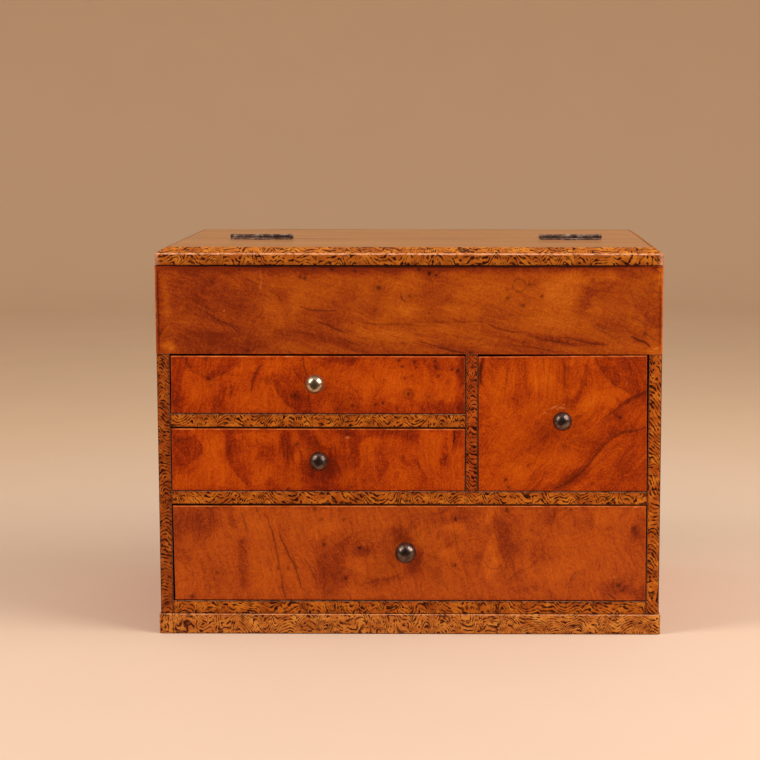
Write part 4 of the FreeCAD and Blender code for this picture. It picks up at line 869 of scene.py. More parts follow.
def blend(tree, share, under, over, kind="MIX"):
    """Colour between two, the second one by its share."""
    return add_node(tree, "Mix", {"data_type": "RGBA", "blend_type": kind},
                    {"Factor": share, "A": under, "B": over}).outputs[2]


def toned(tree, value, positions, tones):
    """Colour for a value, from sRGB tones at rising positions."""
    colours = [linear(tone) for tone in tones]
    ramp = add_node(tree, "ValToRGB", None, {"Fac": value})
    stops = ramp.color_ramp.elements
    stops[0].position, stops[0].color = positions[0], colours[0]
    stops[1].position, stops[1].color = positions[-1], colours[-1]
    for position, colour in zip(positions[1:-1], colours[1:-1]):
        stops.new(position).color = colour
    return ramp.outputs[0]


def weighted(tree, start, *parts):
    """Start plus each noise, less its middle, times its weight."""
    for source, weight in parts:
        start = calc(tree, "MULTIPLY_ADD", calc(tree, "SUBTRACT", source, 0.5), weight, start)
    return start


def read_values(tree, *keys):
    """Arrays that the piece carries, each at its own points."""
    return [add_node(tree, "Attribute", {"attribute_name": key}).outputs["Fac"] for key in keys]


def object_place(tree):
    """Places on the piece itself, in metres."""
    return add_node(tree, "TexCoord").outputs["Object"]


def start_material(name, **constants):
    """Material with a Principled shader; constants are typed into its own sockets."""
    material = bpy.data.materials.new(name)
    material.use_nodes = True
    tree = material.node_tree
    for key, value in constants.items():
        tree.nodes["Principled BSDF"].inputs[key.replace("_", " ")].default_value = value
    return material, tree


def finish_material(material, colour, roughness=None, height=None, strength=0.0, depth=0.0, invert=False):
    """The material with its colour linked, and its roughness and a bump where it has them."""
    tree = material.node_tree
    sockets = tree.nodes["Principled BSDF"].inputs
    tree.links.new(colour, sockets["Base Color"])
    if roughness is not None:
        tree.links.new(roughness.outputs[0], sockets["Roughness"])
    if height is not None:
        bump = add_node(tree, "Bump", {"invert": invert},
                        {"Strength": strength, "Distance": depth, "Height": height})
        tree.links.new(bump.outputs[0], sockets["Normal"])
    return material


def finished(name, build, *arguments):
    """The named material, built on first use."""
    return bpy.data.materials.get(name) or build(name, *arguments)


def burl_veneer(name, tones, gloss):
    """Burr veneer sliced across the knots, glued down and French polished: dark pin knots and soft flames
    under a thin clear film, which dulls to satin with age and rubs through to paler wood on the arrises,
    which also carry a painted highlight."""
    material, tree = start_material(
        name, Specular_IOR_Level=0.08, Coat_Weight=gloss, Coat_Roughness=0.20, Coat_IOR=1.5)
    across, along, tone, mark, line, line_far, line_dark, pale, wear, rim = read_values(
        tree, "across", "along", "tone", "mark", "line", "line_far", "line_dark", "pale", "wear", "rim")
    grain = add_node(tree, "CombineXYZ", None, {"X": across, "Y": along})
    place = object_place(tree)

    def streaks(wide, long, detail, distortion=0.0):
        """Noise drawn out along the grain: a cell is so many millimetres across it and along it."""
        return noise(tree, stretched(tree, grain, (wide, long, 1)), 1.0, detail, distortion, 0.55)

    def steps(source, count):
        """Crisp on one side and fading on the other: the tone starts again where the noise passes a step."""
        return calc(tree, "FRACT", calc(tree, "MULTIPLY", source, count))
    lines = streaks(1.5, 20.0, 2.0)
    pores = streaks(0.55, 2.2, 1.0)
    mottle = noise(tree, place, PER_MM / 9, 2.0, 0.5)
    parts = {
        "bands": (streaks(5.5, 46.0, 3.0, 0.4), 0.28),
        "lines": (lines, 0.38),
        "ripple": (streaks(9.0, 1.1, 2.0), 0.20),
        "curl": (streaks(16.0, 7.0, 2.0, 0.8), 0.12),
        "grit": (noise(tree, place, PER_MM / 0.7, 1.0), 0.62),
        "flecks": (noise(tree, place, PER_MM / 1.3, 2.0), 0.30),
        "scales": (noise(tree, place, PER_MM / 3.4, 2.0, 0.8), 0.12),
        "mottle": (mottle, 0.08),
        "folds": (steps(streaks(15.0, 26.0, 1.0, 0.6), 8.0), 0.14),
        "feathers": (steps(streaks(5.0, 14.0, 1.0, 0.8), 9.0), 0.11),
    }
    total = weighted(tree, tone, *parts.values())
    # polish and dirt darken the margin beside an edge
    margin = between(tree, rim, 0.0, 4.0, -0.10, 0.0, smooth=True)
    total = calc(tree, "ADD", calc(tree, "ADD", total, margin), 0.5)
    colour = toned(tree, total, (0.06, 0.30, 0.52, 0.74, 0.98), tones)
    speck = between(tree, pores, 0.66, 0.80, 0.0, 0.30, smooth=True)
    ink = calc(tree, "MAXIMUM", mark, speck)
    # a line is drawn where its distance is under its own half width; the plain distance, less the grid's
    # step, keeps false crossings between two lines out
    near = calc(tree, "MAXIMUM", calc(tree, "ABSOLUTE", line), line_far)
    drawn = calc(tree, "MULTIPLY", between(tree, near, 0.2, 1.5, 0.85, 0.0, smooth=True), line_dark)
    colour = blend(tree, calc(tree, "MAXIMUM", ink, drawn), colour, linear("#2E0C03"))
    # rubbed arrises and small chips show paler wood, and the arrises also a painted highlight in that colour
    rub_and_highlight = between(tree, noise(tree, place, PER_MM / 6, 3.0), 0.35, 0.70, 0.15, 0.95)
    rub_and_highlight = calc(tree, "MAXIMUM", calc(tree, "MULTIPLY", rub_and_highlight, wear), pale)
    colour = blend(tree, rub_and_highlight, colour, linear("#D8783A"))
    satin = between(tree, mottle, 0.3, 0.7, 0.42, 0.58)
    return finish_material(material, colour, satin, lines, 0.12, 0.1 * MM)


def patterned_edging(name, grounds, inks, spacing, arch, lean, share):
    """Cross-cut wood with curled fibre bundles, inlaid as thin strips and varnished: dark fibres lie in
    nested arches on an ochre ground, and break into tapered dashes where the knife left a bundle.

    The fibres are lines of equal value of one field: the height across the strip less the size of a sine
    wave along it, plus a share of the length, so that they lean, plus noises that bend them. spacing is
    millimetres from line to line, arch the length and height of an arch, and share the fibres' part of the
    ground.
    """
    material, tree = start_material(
        name, Specular_IOR_Level=0.05, Coat_Weight=0.06, Coat_Roughness=0.25, Coat_IOR=1.5, Roughness=0.5)
    along, across, wear, rim = read_values(tree, "along", "across", "wear", "rim")
    flat = add_node(tree, "CombineXYZ", None, {"X": along, "Y": across})

    def cloud(length, height, detail=1.0, seed=0.0):
        """Noise whose cells are so many millimetres long and high."""
        sized = stretched(tree, flat, (length, height, 1), (seed, seed * 0.7, seed))
        return noise(tree, sized, 1.0, detail)
    # rows of arches: the size of a sine wave along the strip, whose steps and heights a broad noise varies
    shifted = weighted(tree, along, (cloud(19.0, 30.0), 1.6 * arch[0]),
                       (cloud(7.0, 6.0, 1.0, 3.0), 0.5 * arch[0]))
    wave = calc(tree, "SINE", calc(tree, "MULTIPLY", shifted, np.pi / arch[0]))
    height = between(tree, cloud(26.0, 60.0, 1.0, 17.0), 0.38, 0.56, -0.5 * arch[1], arch[1])
    rows = calc(tree, "MULTIPLY", calc(tree, "ABSOLUTE", wave), height)
    field = calc(tree, "MULTIPLY_ADD", along, lean, calc(tree, "SUBTRACT", across, rows))
    field = weighted(tree, field, (cloud(4.5, 4.5, 1.0, 5.0), 3.0), (cloud(1.3, 1.3, 1.0, 9.0), 0.6))
    # 1 on each line of fibres and 0 half way to the next
    half = calc(tree, "PINGPONG", calc(tree, "DIVIDE", field, spacing), 0.5)
    crest = calc(tree, "MULTIPLY", half, 2.0)
    reach = weighted(tree, crest, (cloud(2.8, 2.4, 1.0, 13.0), 2.1), (cloud(9.0, 7.0, 1.0, 21.0), 1.2))
    ink = between(tree, reach, 1.0 - share, 1.14 - share, smooth=True)
    uneven = between(tree, cloud(4.0, 3.0, 2.0, 41.0), 0.36, 0.56, 0.6, 1.0, smooth=True)
    # old varnish and dirt lie dark along the joints; along the low edge of the top's strips and of
    # the plinth the same dark is a painted shadow, of the gap under them and of the floor
    joint = between(tree, rim, 0.25, 0.85, 0.92, 0.0, smooth=True)
    ink = calc(tree, "MAXIMUM", calc(tree, "MULTIPLY", ink, uneven), joint)
    mottle = weighted(tree, cloud(9.0, 7.0, 4.0, 31.0), (cloud(0.8, 0.8, 1.0, 51.0), 0.35))
    ground = toned(tree, mottle, (0.32, 0.50, 0.68), grounds)
    fibre = blend(tree, mottle, linear(inks[0]), linear(inks[1]))
    # the arrises are rubbed down to pale dusty wood, in patches, and carry a painted highlight in the same
    # colour
    rub_and_highlight = between(tree, cloud(3.2, 2.0, 2.0, 61.0), 0.36, 0.60, 0.25, 1.0, smooth=True)
    colour = blend(tree, calc(tree, "MULTIPLY", rub_and_highlight, wear), blend(tree, ink, ground, fibre),
                   linear("#E0A27C"))
    return finish_material(material, colour, None, ink, 0.3, 0.08 * MM, invert=True)


def plain_wood(name, early, late, along, offset=0.0, width=5.0, gloss=0.0):
    """Planed straight-grained wood: paler early wood and darker late wood in long bands that follow the
    board, with short pores. Inside the box it is left bare; on top it has a clear film, which shines, and
    dirt in the joints."""
    material, tree = start_material(name, Specular_IOR_Level=0.25, Coat_Weight=gloss, Coat_Roughness=0.22,
                                    Coat_IOR=1.5, Roughness=0.65)
    cells = [width * MM] * 3
    cells["xyz".index(along)] = 130.0 * MM
    sized = stretched(tree, object_place(tree), cells, (offset, offset * 1.7, offset * 0.6))
    bands = noise(tree, sized, 1.0, 4.0, 0.6, 0.6)
    pores = noise(tree, sized, 9.0, 2.0)
    both = calc(tree, "MULTIPLY_ADD", pores, 0.35, bands)
    colour = toned(tree, both, (0.50, 0.82), (early, late))
    if gloss > 0:
        dirt = between(tree, *read_values(tree, "rim"), 0.2, 1.0, 0.75, 0.0, smooth=True)
        colour = blend(tree, dirt, colour, linear("#3A1A0A"))
    return finish_material(material, colour, None, pores, 0.25, 0.1 * MM)


def worn_metal(name, bright, dull, brown, amount, roughness, spread, bare):
    """Cast or wrought brass with old patina: browned in the hollows, rubbed bright where fingers reach. Under
    a crust of oxide only a share of the metal is bare, and the rest looks matt."""
    material, tree = start_material(name, Metallic=bare)
    place = object_place(tree)
    cloud = noise(tree, place, PER_MM / 3.5, 5.0, 0.4, 0.65)
    both = calc(tree, "MULTIPLY_ADD", noise(tree, place, PER_MM / 0.7, 3.0), 0.3, cloud)
    positions = [0.62 + share * spread + amount for share in (-0.17, -0.02, 0.16)]
    colour = toned(tree, both, positions, (brown, dull, bright))
    rough = between(tree, both, 0.5, 0.8, roughness[1], roughness[0])
    return finish_material(material, colour, rough, both, 0.35, 0.05 * MM)


def burl_for(kind):
    """Burl of one place: its colours from the darkest flame to the palest, and its share of clear film."""
    return finished("burl_" + kind, burl_veneer, *{
        "upper": (("#742405", "#8E3508", "#A24607", "#B2550A", "#C46618"), 0.10),
        "small": (("#701C02", "#952D00", "#B04200", "#C05000", "#CE6210"), 0.04),
        "right": (("#722002", "#983100", "#B24400", "#C15400", "#CE6610"), 0.04),
        "bottom": (("#7A2807", "#983A0A", "#B04C0C", "#BE580E", "#CC6A18"), 0.10),
        "case": (("#6C2408", "#943A0A", "#AC4A0C", "#BA5A12", "#C86C1E"), 0.20),
    }[kind])


def edging_for(kind):
    """Edging of one place: its ground colours, its fibre colours, and spacing, arches, lean and share."""
    return finished("edging_" + kind, patterned_edging, *{
        "rail": (("#94440E", "#AE5814", "#C8741E"), ("#260802", "#441604"), 3.0, (14, 11.0), 0.20, 0.42),
        "lid": (("#904612", "#A85A18", "#C27624"), ("#240804", "#421406"), 3.8, (15, 13.0), 0.0, 0.38),
        "plinth": (("#A4581E", "#C0702A", "#D68C3A"), ("#32100A", "#541E10"), 3.0, (15, 12.0), 0.20, 0.42),
        "stile": (("#84380E", "#9A4812", "#B2601E"), ("#240802", "#401404"), 2.5, (11, 5.0), 0.10, 0.42),
        "leaning": (("#94420E", "#AE5614", "#C8721E"), ("#280A02", "#461806"), 3.4, (13, 7.0), 1.10, 0.42),
        "red": (("#8A340A", "#A4440E", "#BA5A1A"), ("#240602", "#401204"), 2.7, (8, 5.0), 0.40, 0.42),
    }[kind])


def inner_wood(along):
    """Bare wood of the case, for the backs of the visible boards."""
    return finished("case_wood_" + along, plain_wood, *CASE_TONES, along)


class BoxSettings(bpy.types.PropertyGroup):
    """Sizes that a user may change."""
    arris: bpy.props.FloatProperty(
        name="Drawer arris", description="Radius of the rubbed edges of the drawer fronts",
        default=0.9 * MM, unit="LENGTH")
    joint_arris: bpy.props.FloatProperty(
        name="Joint arris", description="Radius where two strips of edging meet",
        default=0.15 * MM, unit="LENGTH")
    fine_step: bpy.props.FloatProperty(
        name="Figure step", description="Spacing of the points that carry the grain figure",
        default=0.7 * MM, unit="LENGTH")


class StudioSettings(bpy.types.PropertyGroup):
    """Camera, lamps and floor."""
    lens: bpy.props.FloatProperty(
        name="Lens", description="Focal length on a 36 mm sensor", default=97.93, unit="CAMERA")
    key_power: bpy.props.FloatProperty(
        name="Right softbox", description="Power of the larger lamp", default=19.0, unit="POWER")
    fill_power: bpy.props.FloatProperty(
        name="Left softbox", description="Power of the narrower lamp", default=11.0, unit="POWER")
    sky: bpy.props.FloatProperty(
        name="Sky", description="Strength of the soft light all round", default=0.62)
    floor_colour: bpy.props.FloatVectorProperty(
        name="Floor", description="Colour of the paper under and near the box", subtype="COLOR",
        default=linear("#D2B69E")[:3])
    wall_colour: bpy.props.FloatVectorProperty(
        name="Backdrop", description="Colour of the paper further off", subtype="COLOR",
        default=linear("#D8B898")[:3])


class SEWINGBOX_OT_stage(bpy.types.Operator):
    """Build the floor with its backdrop, the lamps and the camera"""
    bl_idname = "sewing_box.stage"
    bl_label = "Studio"

    def execute(self, context):
        settings = context.scene.sewing_box_studio
        build_backdrop(settings)
        build_lamps(context, settings)
        build_flag()
        build_camera(context, settings)
        context.scene.view_settings.view_transform = "Standard"
        return {"FINISHED"}


def build_backdrop(settings):
    """Paper that lies flat round the box and rises all round: radius and height are functions of one
    parameter, flat, then a quarter circle, then upright, and the angle is the other."""
    flat, cove, wall = 2.2, 0.8, 1.7
    turn = np.linspace(0, np.pi / 2, 17)
    radius = np.concatenate([[0.05, 0.3, 0.8, 1.5], flat + cove * np.sin(turn), [flat + cove]])
    height = np.concatenate([np.zeros(4), cove * (1 - np.cos(turn)), [wall]])
    angle = np.linspace(0, 2 * np.pi, 96, endpoint=False)
    points = np.stack([np.outer(radius, np.cos(angle)), np.outer(radius, np.sin(angle)),
                       np.repeat(height[:, None], len(angle), 1)], -1).reshape(-1, 3)
    ids = np.arange(len(points)).reshape(len(radius), -1)
    nxt = np.roll(ids, -1, axis=1)
    rings = np.stack([ids[:-1], ids[1:], nxt[1:], nxt[:-1]], -1).reshape(-1, 4)
    middle = np.stack([ids[0], nxt[0], np.full(len(angle), len(points))], -1)
    mesh = make_mesh("backdrop", np.concatenate([points, [[0, 0, 0]]]), [rings, middle])
    # matte background paper, lightly mottled, shaded from pale under the box to tan further off
    material, tree = start_material("backdrop_paper", Specular_IOR_Level=0.0, Roughness=1.0)
    place = object_place(tree)
    away = add_node(tree, "VectorMath", {"operation": "LENGTH"}, {0: place}).outputs["Value"]
    tint = blend(tree, between(tree, away, 0.35, 0.95, smooth=True),
                 (*settings.floor_colour, 1), (*settings.wall_colour, 1))
    soft = between(tree, noise(tree, place, 9.0, 5.0), 0.0, 1.0, 0.97, 1.02)
    mesh.materials.append(finish_material(material, blend(tree, 1.0, tint, soft, "MULTIPLY")))
    backdrop = add_object("backdrop", mesh)


def build_lamps(context, settings):
    """Two softboxes high at the sides, a little in front, as the knobs reflect them, and a soft sky."""
    target = Vector((0, -0.05, 0.13))
    lamps = (("softbox_right", (1.00, -0.42, 0.98), (1.0, 1.0), settings.key_power),
             ("softbox_left", (-0.95, -0.52, 1.02), (0.5, 0.9), settings.fill_power))
    for name, place, (width, height), power in lamps:
        light = bpy.data.lights.new(name, "AREA")
        light.shape = "RECTANGLE"
        light.size, light.size_y, light.energy = width, height, power
        lamp = add_object(name, light)
        lamp.location = place
        lamp.rotation_euler = (target - lamp.location).to_track_quat("-Z", "Y").to_euler()
    world = bpy.data.worlds.new("studio_sky")
    context.scene.world = world
    world.use_nodes = True
    sky = world.node_tree.nodes["Background"].inputs
    sky["Color"].default_value, sky["Strength"].default_value = linear("#FFF6EC"), settings.sky


def build_flag():
    """Black cloth in front of the box that only reflections see, a diamond folded where floor and upright
    meet: its half width rises in a straight line to where it is widest and falls again, as a grid between
    its edges."""
    columns, rows = 9, 19
    start, widest, end = -0.30, 0.18, 1.05
    tip, swell, aside, gap, lift = 0.02, 0.85, 0.08, 0.50, 0.003
    across, up = np.meshgrid(np.linspace(-1, 1, columns), np.linspace(start, end, rows), indexing="ij")
    half = tip + swell * np.minimum((up - start) / (widest - start), (end - up) / (end - widest))
    points = [across * half - aside, -gap - np.minimum(up, 0), lift + np.maximum(up, 0)]
    ids = np.arange(columns * rows).reshape(columns, rows)
    quads = np.stack([ids[:-1, :-1], ids[:-1, 1:], ids[1:, 1:], ids[1:, :-1]], -1).reshape(-1, 4)
    mesh = make_mesh("black_flag", np.stack(points, -1).reshape(-1, 3), [quads])
    # dark velvet, which gives almost nothing back; seen only in reflections, it paints a dark reflection into
    # the knobs and the polish
    material, tree = start_material("flag_velvet", Specular_IOR_Level=0.0, Roughness=1.0)
    nap = noise(tree, object_place(tree), 300.0)
    mesh.materials.append(finish_material(material, blend(tree, nap, linear("#20100E"), linear("#342024"))))
    flag = add_object("black_flag", mesh)
    flag.visible_camera = flag.visible_diffuse = flag.visible_shadow = False


def build_camera(context, settings):
    """Camera where the photograph's perspective puts it: it looks down a little and stands right of the
    middle, and the picture is cropped, which the shift repeats."""
    pitch, yaw, roll = math.radians(-7.47), math.radians(0.40), math.radians(-0.04)
    aside, distance, eye_height = 0.0381, 1.3366, 0.3449
    frame_width, axis_column = 760, 453.4
    data = bpy.data.cameras.new("camera")
    data.lens, data.sensor_width = settings.lens, 36.0
    data.shift_x = (frame_width / 2 - axis_column) / frame_width
    camera = add_object("camera", data)
    camera.location = (aside, FRONT - distance, eye_height)
    camera.rotation_euler = (math.pi / 2 + pitch, roll, yaw)
    context.scene.camera = camera


class SEWINGBOX_OT_drawer_fronts(bpy.types.Operator):
    """Veneered drawer fronts, each with the outline that it was planed to"""
    bl_idname = "sewing_box.drawer_fronts"
    bl_label = "Drawer fronts"

    def execute(self, context):
        settings = context.scene.sewing_box_sizes
        figures = {"drawer_upper_left": (UPPER_LEFT, "small"), "drawer_lower_left": (LOWER_LEFT, "small"),
                   "drawer_right": (RIGHT_DRAWER, "right"), "drawer_bottom": (BOTTOM_DRAWER, "bottom")}
        inside = finished("drawer_front_back", plain_wood, "#B98A5A", "#8F6238", "x")
        for index, (drawer, (plan, kind)) in enumerate(figures.items()):
            node = drawer + "_front"
            corners, level, thickness = seen_corners(node, "front")
            # the top arris of a front gets the most rubbed wood and painted highlight
            shape = slab(four_sided(corners), level, thickness, settings.arris,
                         cell_counts(corners, settings.fine_step), "front", waves(0.05, 60, 90 + index),
                         wear_and_highlight_by_edge=(0.2, 0.2, 0.1, 1.0))
            add_piece(drawer + "_burl_front", with_figure(shape, plan, 10 * index), burl_for(kind),
                      [node], back_material=inside)
        return {"FINISHED"}


class SEWINGBOX_OT_upper_board(bpy.types.Operator):
    """Burl sheet over the tall board under the lid"""
    bl_idname = "sewing_box.upper_board"
    bl_label = "Upper board"

    def execute(self, context):
        settings = context.scene.sewing_box_sizes
        corners, level, thickness = seen_corners("upper_front_veneer", "front")
        # the upright arrises get rubbed wood and a painted highlight, the top edge none
        shape = slab(four_sided(corners), level, thickness, (1.1 * MM, 1.1 * MM, 0.3 * MM, 0.7 * MM),
                     cell_counts(corners, settings.fine_step), "front", waves(0.05, 70, 95), 0.05 * MM,
                     wear_and_highlight_by_edge=(0.7, 0.7, 0.0, 0.0))
        add_piece("upper_board_burl_sheet", with_figure(shape, UPPER_BOARD, 50), burl_for("upper"),
                  ["upper_front_veneer"])
        return {"FINISHED"}


class SEWINGBOX_OT_front_edging(bpy.types.Operator):
    """Patterned stiles and rails that face the edges of the case's boards"""
    bl_idname = "sewing_box.front_edging"
    bl_label = "Stiles and rails"

    def execute(self, context):
        joint = context.scene.sewing_box_sizes.joint_arris
        soft, outer_corner = 0.35 * MM, 1.5 * MM
        # kind of edging, radii of the left, right, low and high edges, and the side of the case's corner
        strips = {"stile_left": ("stile", (joint, soft, joint, joint), -1),
                  "stile_right": ("leaning", (soft, joint, joint, joint), 1),
                  "stile_centre": ("red", (soft, soft, joint, joint), 0),
                  "rail_small_drawers": ("rail", (joint, joint, soft, soft), 0),
                  "rail_middle": ("rail", (joint, joint, soft, soft), 0),
                  "rail_bottom": ("rail", (joint, joint, joint, soft), 0)}
        for index, (node, (kind, radii, side)) in enumerate(strips.items()):
            corners, level, thickness = square_corners(node, "front")
            # the top arris gets more rubbed wood and painted highlight than the low one
            shape = slab(four_sided(corners), level, thickness, radii, cell_counts(corners, 0.8 * MM),
                         "front", waves(0.04, 24, 110 + index), wear_and_highlight_by_edge=(0.3, 0.3, 0.1, 0.5))
            if side:
                shape["points"] = round_upright(shape["points"], (side * CASE_HIGH.x, -level), outer_corner)
            shape["values"].update(along=shape["flat"][0], across=shape["flat"][1])
            add_piece(node + "_edging", shape, edging_for(kind), [node])
        return {"FINISHED"}


def plan_corners(wide, front, back):
    """The four corners of the box seen from above."""
    return [(x, y) for x in (-wide, wide) for y in (front, back)]


class SEWINGBOX_OT_plinth(bpy.types.Operator):
    """Mitred plinth with rounded corners and a soft arris along its top"""
    bl_idname = "sewing_box.plinth"
    bl_label = "Plinth"

    def execute(self, context):
        low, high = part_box("plinth_front")
        wide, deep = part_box("plinth_right")[1].x, high.y - low.y
        back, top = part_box("plinth_back")[1].y, high.z
        foot, arris, corner, step = 0.4 * MM, 0.7 * MM, 3.0 * MM, 6 * MM
        profile = [(foot, 0)] + arc((foot, foot), foot, 250, 180, 4)[1:]
        profile += [(0, top * f) for f in (0.2, 0.4, 0.6, 0.8)]
        profile += arc((arris, top - arris), arris, 180, 90, 7)
        profile += [(2 * MM, top), (corner, top), (deep / 2, top), (deep, top), (deep, 0), (deep / 2, 0)]
        # the top arris gets rubbed wood and a painted highlight
        wear = [0.5 if z > top - 0.6 * MM and x < 0.5 * MM else 0.0 for x, z in profile]
        ease = [corner * f for f in (0.15, 0.3, 0.5, 0.75, 1.0)]
        spans = {"front": (-wide, wide, -low.y), "back": (-wide, wide, back),
                 "right": (low.y, back, wide), "left": (-back, -low.y, wide)}
        for side, (start, end, level) in spans.items():
            shape = moulding(profile, wear, (start, 1), (end, 1), level, side, step, ease)
            for place in plan_corners(wide, low.y, back):
                shape["points"] = round_upright(shape["points"], place, corner)
            add_piece("plinth_" + side + "_edging", shape, edging_for("plinth"),
                      ["plinth_" + side])
        return {"FINISHED"}


def bevelled_profile(bottom, bevel):
    """Profile of the top's edging, bevel wide: outer face, rounded arris, bevel, inner face, underside. Wear,
    with a painted highlight, is the size of a sine over the arris."""
    rise, radius, top = 3.9 * MM, 1.5 * MM, LID_TOP
    slope = math.degrees(math.atan2(rise, bevel))
    shoulder = top - rise - radius * math.tan(math.radians((90 - slope) / 2))
    points = [(0.6 * MM, bottom), (0.2 * MM, bottom + 0.15 * MM), (0, bottom + 0.5 * MM)]
    points += [(0, bottom + (shoulder - bottom) * f) for f in (0.3, 0.6, 0.85)]
    first, count = len(points), 8
    points += arc((radius, shoulder), radius, 180, 90 + slope, count)
    x, z = points[-1]
    points += [(x + (bevel - x) * f, z + (top - z) * f) for f in (0.2, 0.4, 0.6, 0.8)]
    points += [(bevel, top), (bevel, bottom), (bevel / 2, bottom)]
    wear = np.zeros(len(points))
    wear[first:first + count] = np.sin(np.linspace(0, np.pi, count))
    return points, wear


class SEWINGBOX_OT_top_edging(bpy.types.Operator):
    """Bevelled, mitred strips round the lid and the fixed rear board"""
    bl_idname = "sewing_box.top_edging"
    bl_label = "Edging of the top"

    def execute(self, context):
        low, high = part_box("lid_edge_front")
        wide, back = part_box("lid_edge_right")[1].x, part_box("rear_top_edge_back")[1].y
        lid_end, rear_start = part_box("lid_edge_left")[1].y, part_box("rear_top_edge_left")[0].y
        corner, rubbed, step = 4.2 * MM, 2.4 * MM, 4 * MM
        ease = [f * MM for f in (0.7, 1.5, 2.5, 3.6, 4.8, 6.2)]
        pieces = {
            "lid_edge_front": ("front", (-wide, 1), (wide, 1), -low.y),
            "lid_edge_right": ("right", (low.y, 1), (lid_end, 0), wide),
            "lid_edge_left": ("left", (-lid_end, 0), (-low.y, 1), wide),
            "rear_top_edge_back": ("back", (-wide, 1), (wide, 1), back),
            "rear_top_edge_right": ("right", (rear_start, 0), (back, 1), wide),
            "rear_top_edge_left": ("left", (-back, 1), (-rear_start, 0), wide),
        }
        for node, (side, start, end, level) in pieces.items():
            profile, wear = bevelled_profile(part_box(node)[0].z, high.y - low.y)
            shape = moulding(profile, wear, start, end, level, side, step, ease)
            values = shape["values"]
            for place in plan_corners(wide, low.y, back):
                shape["points"] = round_upright(shape["points"], place, corner)
                # a painted highlight where the lid's rounded corners turn
                near = np.hypot(*(shape["points"][:, :2] - place).T)
                values["wear"] = np.maximum(values["wear"], 0.9 * np.exp(-(near / rubbed) ** 4))
            # the painted shadow along the strip's low edge is half as high
            values["rim"] *= 2
            add_piece(node + "_strip", shape, edging_for("lid"), [node])
        return {"FINISHED"}


class SEWINGBOX_OT_top_boards(bpy.types.Operator):
    """Lid board and fixed rear board, of plainer wood than the front"""
    bl_idname = "sewing_box.top_boards"
    bl_label = "Top boards"

    def execute(self, context):
        joint = context.scene.sewing_box_sizes.joint_arris
        top = finished("straight_grained_top", plain_wood, "#AE7438", "#8A501A", "x", 0.0, 2.2, 0.65)
        for index, node in enumerate(("lid_board", "rear_top_board")):
            corners, level, thickness = square_corners(node, "top")
            shape = slab(four_sided(corners), level, thickness, joint, cell_counts(corners, COARSE_STEP),
                         "top", waves(0.06, 80, 130 + index))
            add_piece(node + "_polished", shape, top, [node], back_material=inner_wood("x"))
        return {"FINISHED"}


class SEWINGBOX_OT_case_sides(bpy.types.Operator):
    """Veneered sides of the case, and its plain back"""
    bl_idname = "sewing_box.case_sides"
    bl_label = "Sides and back"

    def execute(self, context):
        joint = context.scene.sewing_box_sizes.joint_arris
        for index, side in enumerate(("left", "right")):
            node = "side_" + side
            corners, level, thickness = square_corners(node, side)
            shape = slab(four_sided(corners), level, thickness, joint, cell_counts(corners, COARSE_STEP),
                         side, waves(0.06, 90, 140 + index))
            plan = chance_figure(17 + index, corners[0] / MM, corners[2] / MM, 0.2)
            add_piece(node + "_burl", with_figure(shape, plan, 70 + index), burl_for("case"),
                      [node], back_material=inner_wood("z"))
        corners, level, thickness = square_corners("back_panel", "back")
        shape = slab(four_sided(corners), level, thickness, joint, cell_counts(corners, 4 * MM), "back",
                     waves(0.12, 60, 150))
        add_piece("back_panel_board", shape, inner_wood("x"), ["back_panel"])
        return {"FINISHED"}


class SEWINGBOX_OT_knobs(bpy.types.Operator):
    """Turned ball knobs, one of them paler than the rest"""
    bl_idname = "sewing_box.knobs"
    bl_label = "Knobs"

    def execute(self, context):
        pale = finished("pale_brass", worn_metal, "#C4AE90", "#A08A6C", "#5C4834", -0.03, (0.19, 0.34), 1.0,
                        0.92)
        bronze = finished("dark_bronze", worn_metal, "#7E6A60", "#58463E", "#32241E", 0.0, (0.22, 0.36), 1.0,
                          0.92)
        for drawer in DRAWERS:
            low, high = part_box(drawer + "_knob")
            ball = (high.x - low.x) / 2
            x, z = (low.x + high.x) / 2, (low.z + high.z) / 2
            shape = turned(knob_profile(ball, high.y - FRONT), (x, FRONT, z), (0, -1, 0))
            upper = drawer == "drawer_upper_left"
            add_piece(drawer + "_turned_knob", shape, pale if upper else bronze,
                      [drawer + "_knob"], sharp=50)
        return {"FINISHED"}


def knob_profile(ball, shank_end):
    """Shank, collar with a rounded rim, waisted neck and ball, as distance out from the drawer and radius.
    The neck is a parabola that a sine draws in."""
    collar, neck, neck_start, neck_end, shank = 4.6 * MM, 2.5 * MM, 1.5 * MM, 4.0 * MM, 1.95 * MM
    flare, waist, taper = 0.8 * MM, 0.25 * MM, 1.2 * MM
    centre = neck_end + math.sqrt(ball ** 2 - neck ** 2)
    profile = [(-shank_end, 0), (-shank_end, shank * 0.6), (-shank_end + taper, shank), (0, shank)]
    profile += [(out * MM, collar - inset * MM)
                for out, inset in ((0, 0.1), (0.1, 0), (0.6, 0), (1.0, 0.2), (1.25, 0.7))]
    profile += [(neck_start + t * (neck_end - neck_start),
                 neck + flare * (1 - t) ** 2 - waist * math.sin(math.pi * t)) for t in np.linspace(0, 1, 8)]
    first = math.atan2(neck, centre - neck_end)
    profile += [(centre + ball * math.cos(t), ball * math.sin(t) if t > 0 else 0.0)
                for t in np.linspace(math.pi - first, 0, 30)[1:]]
    return profile


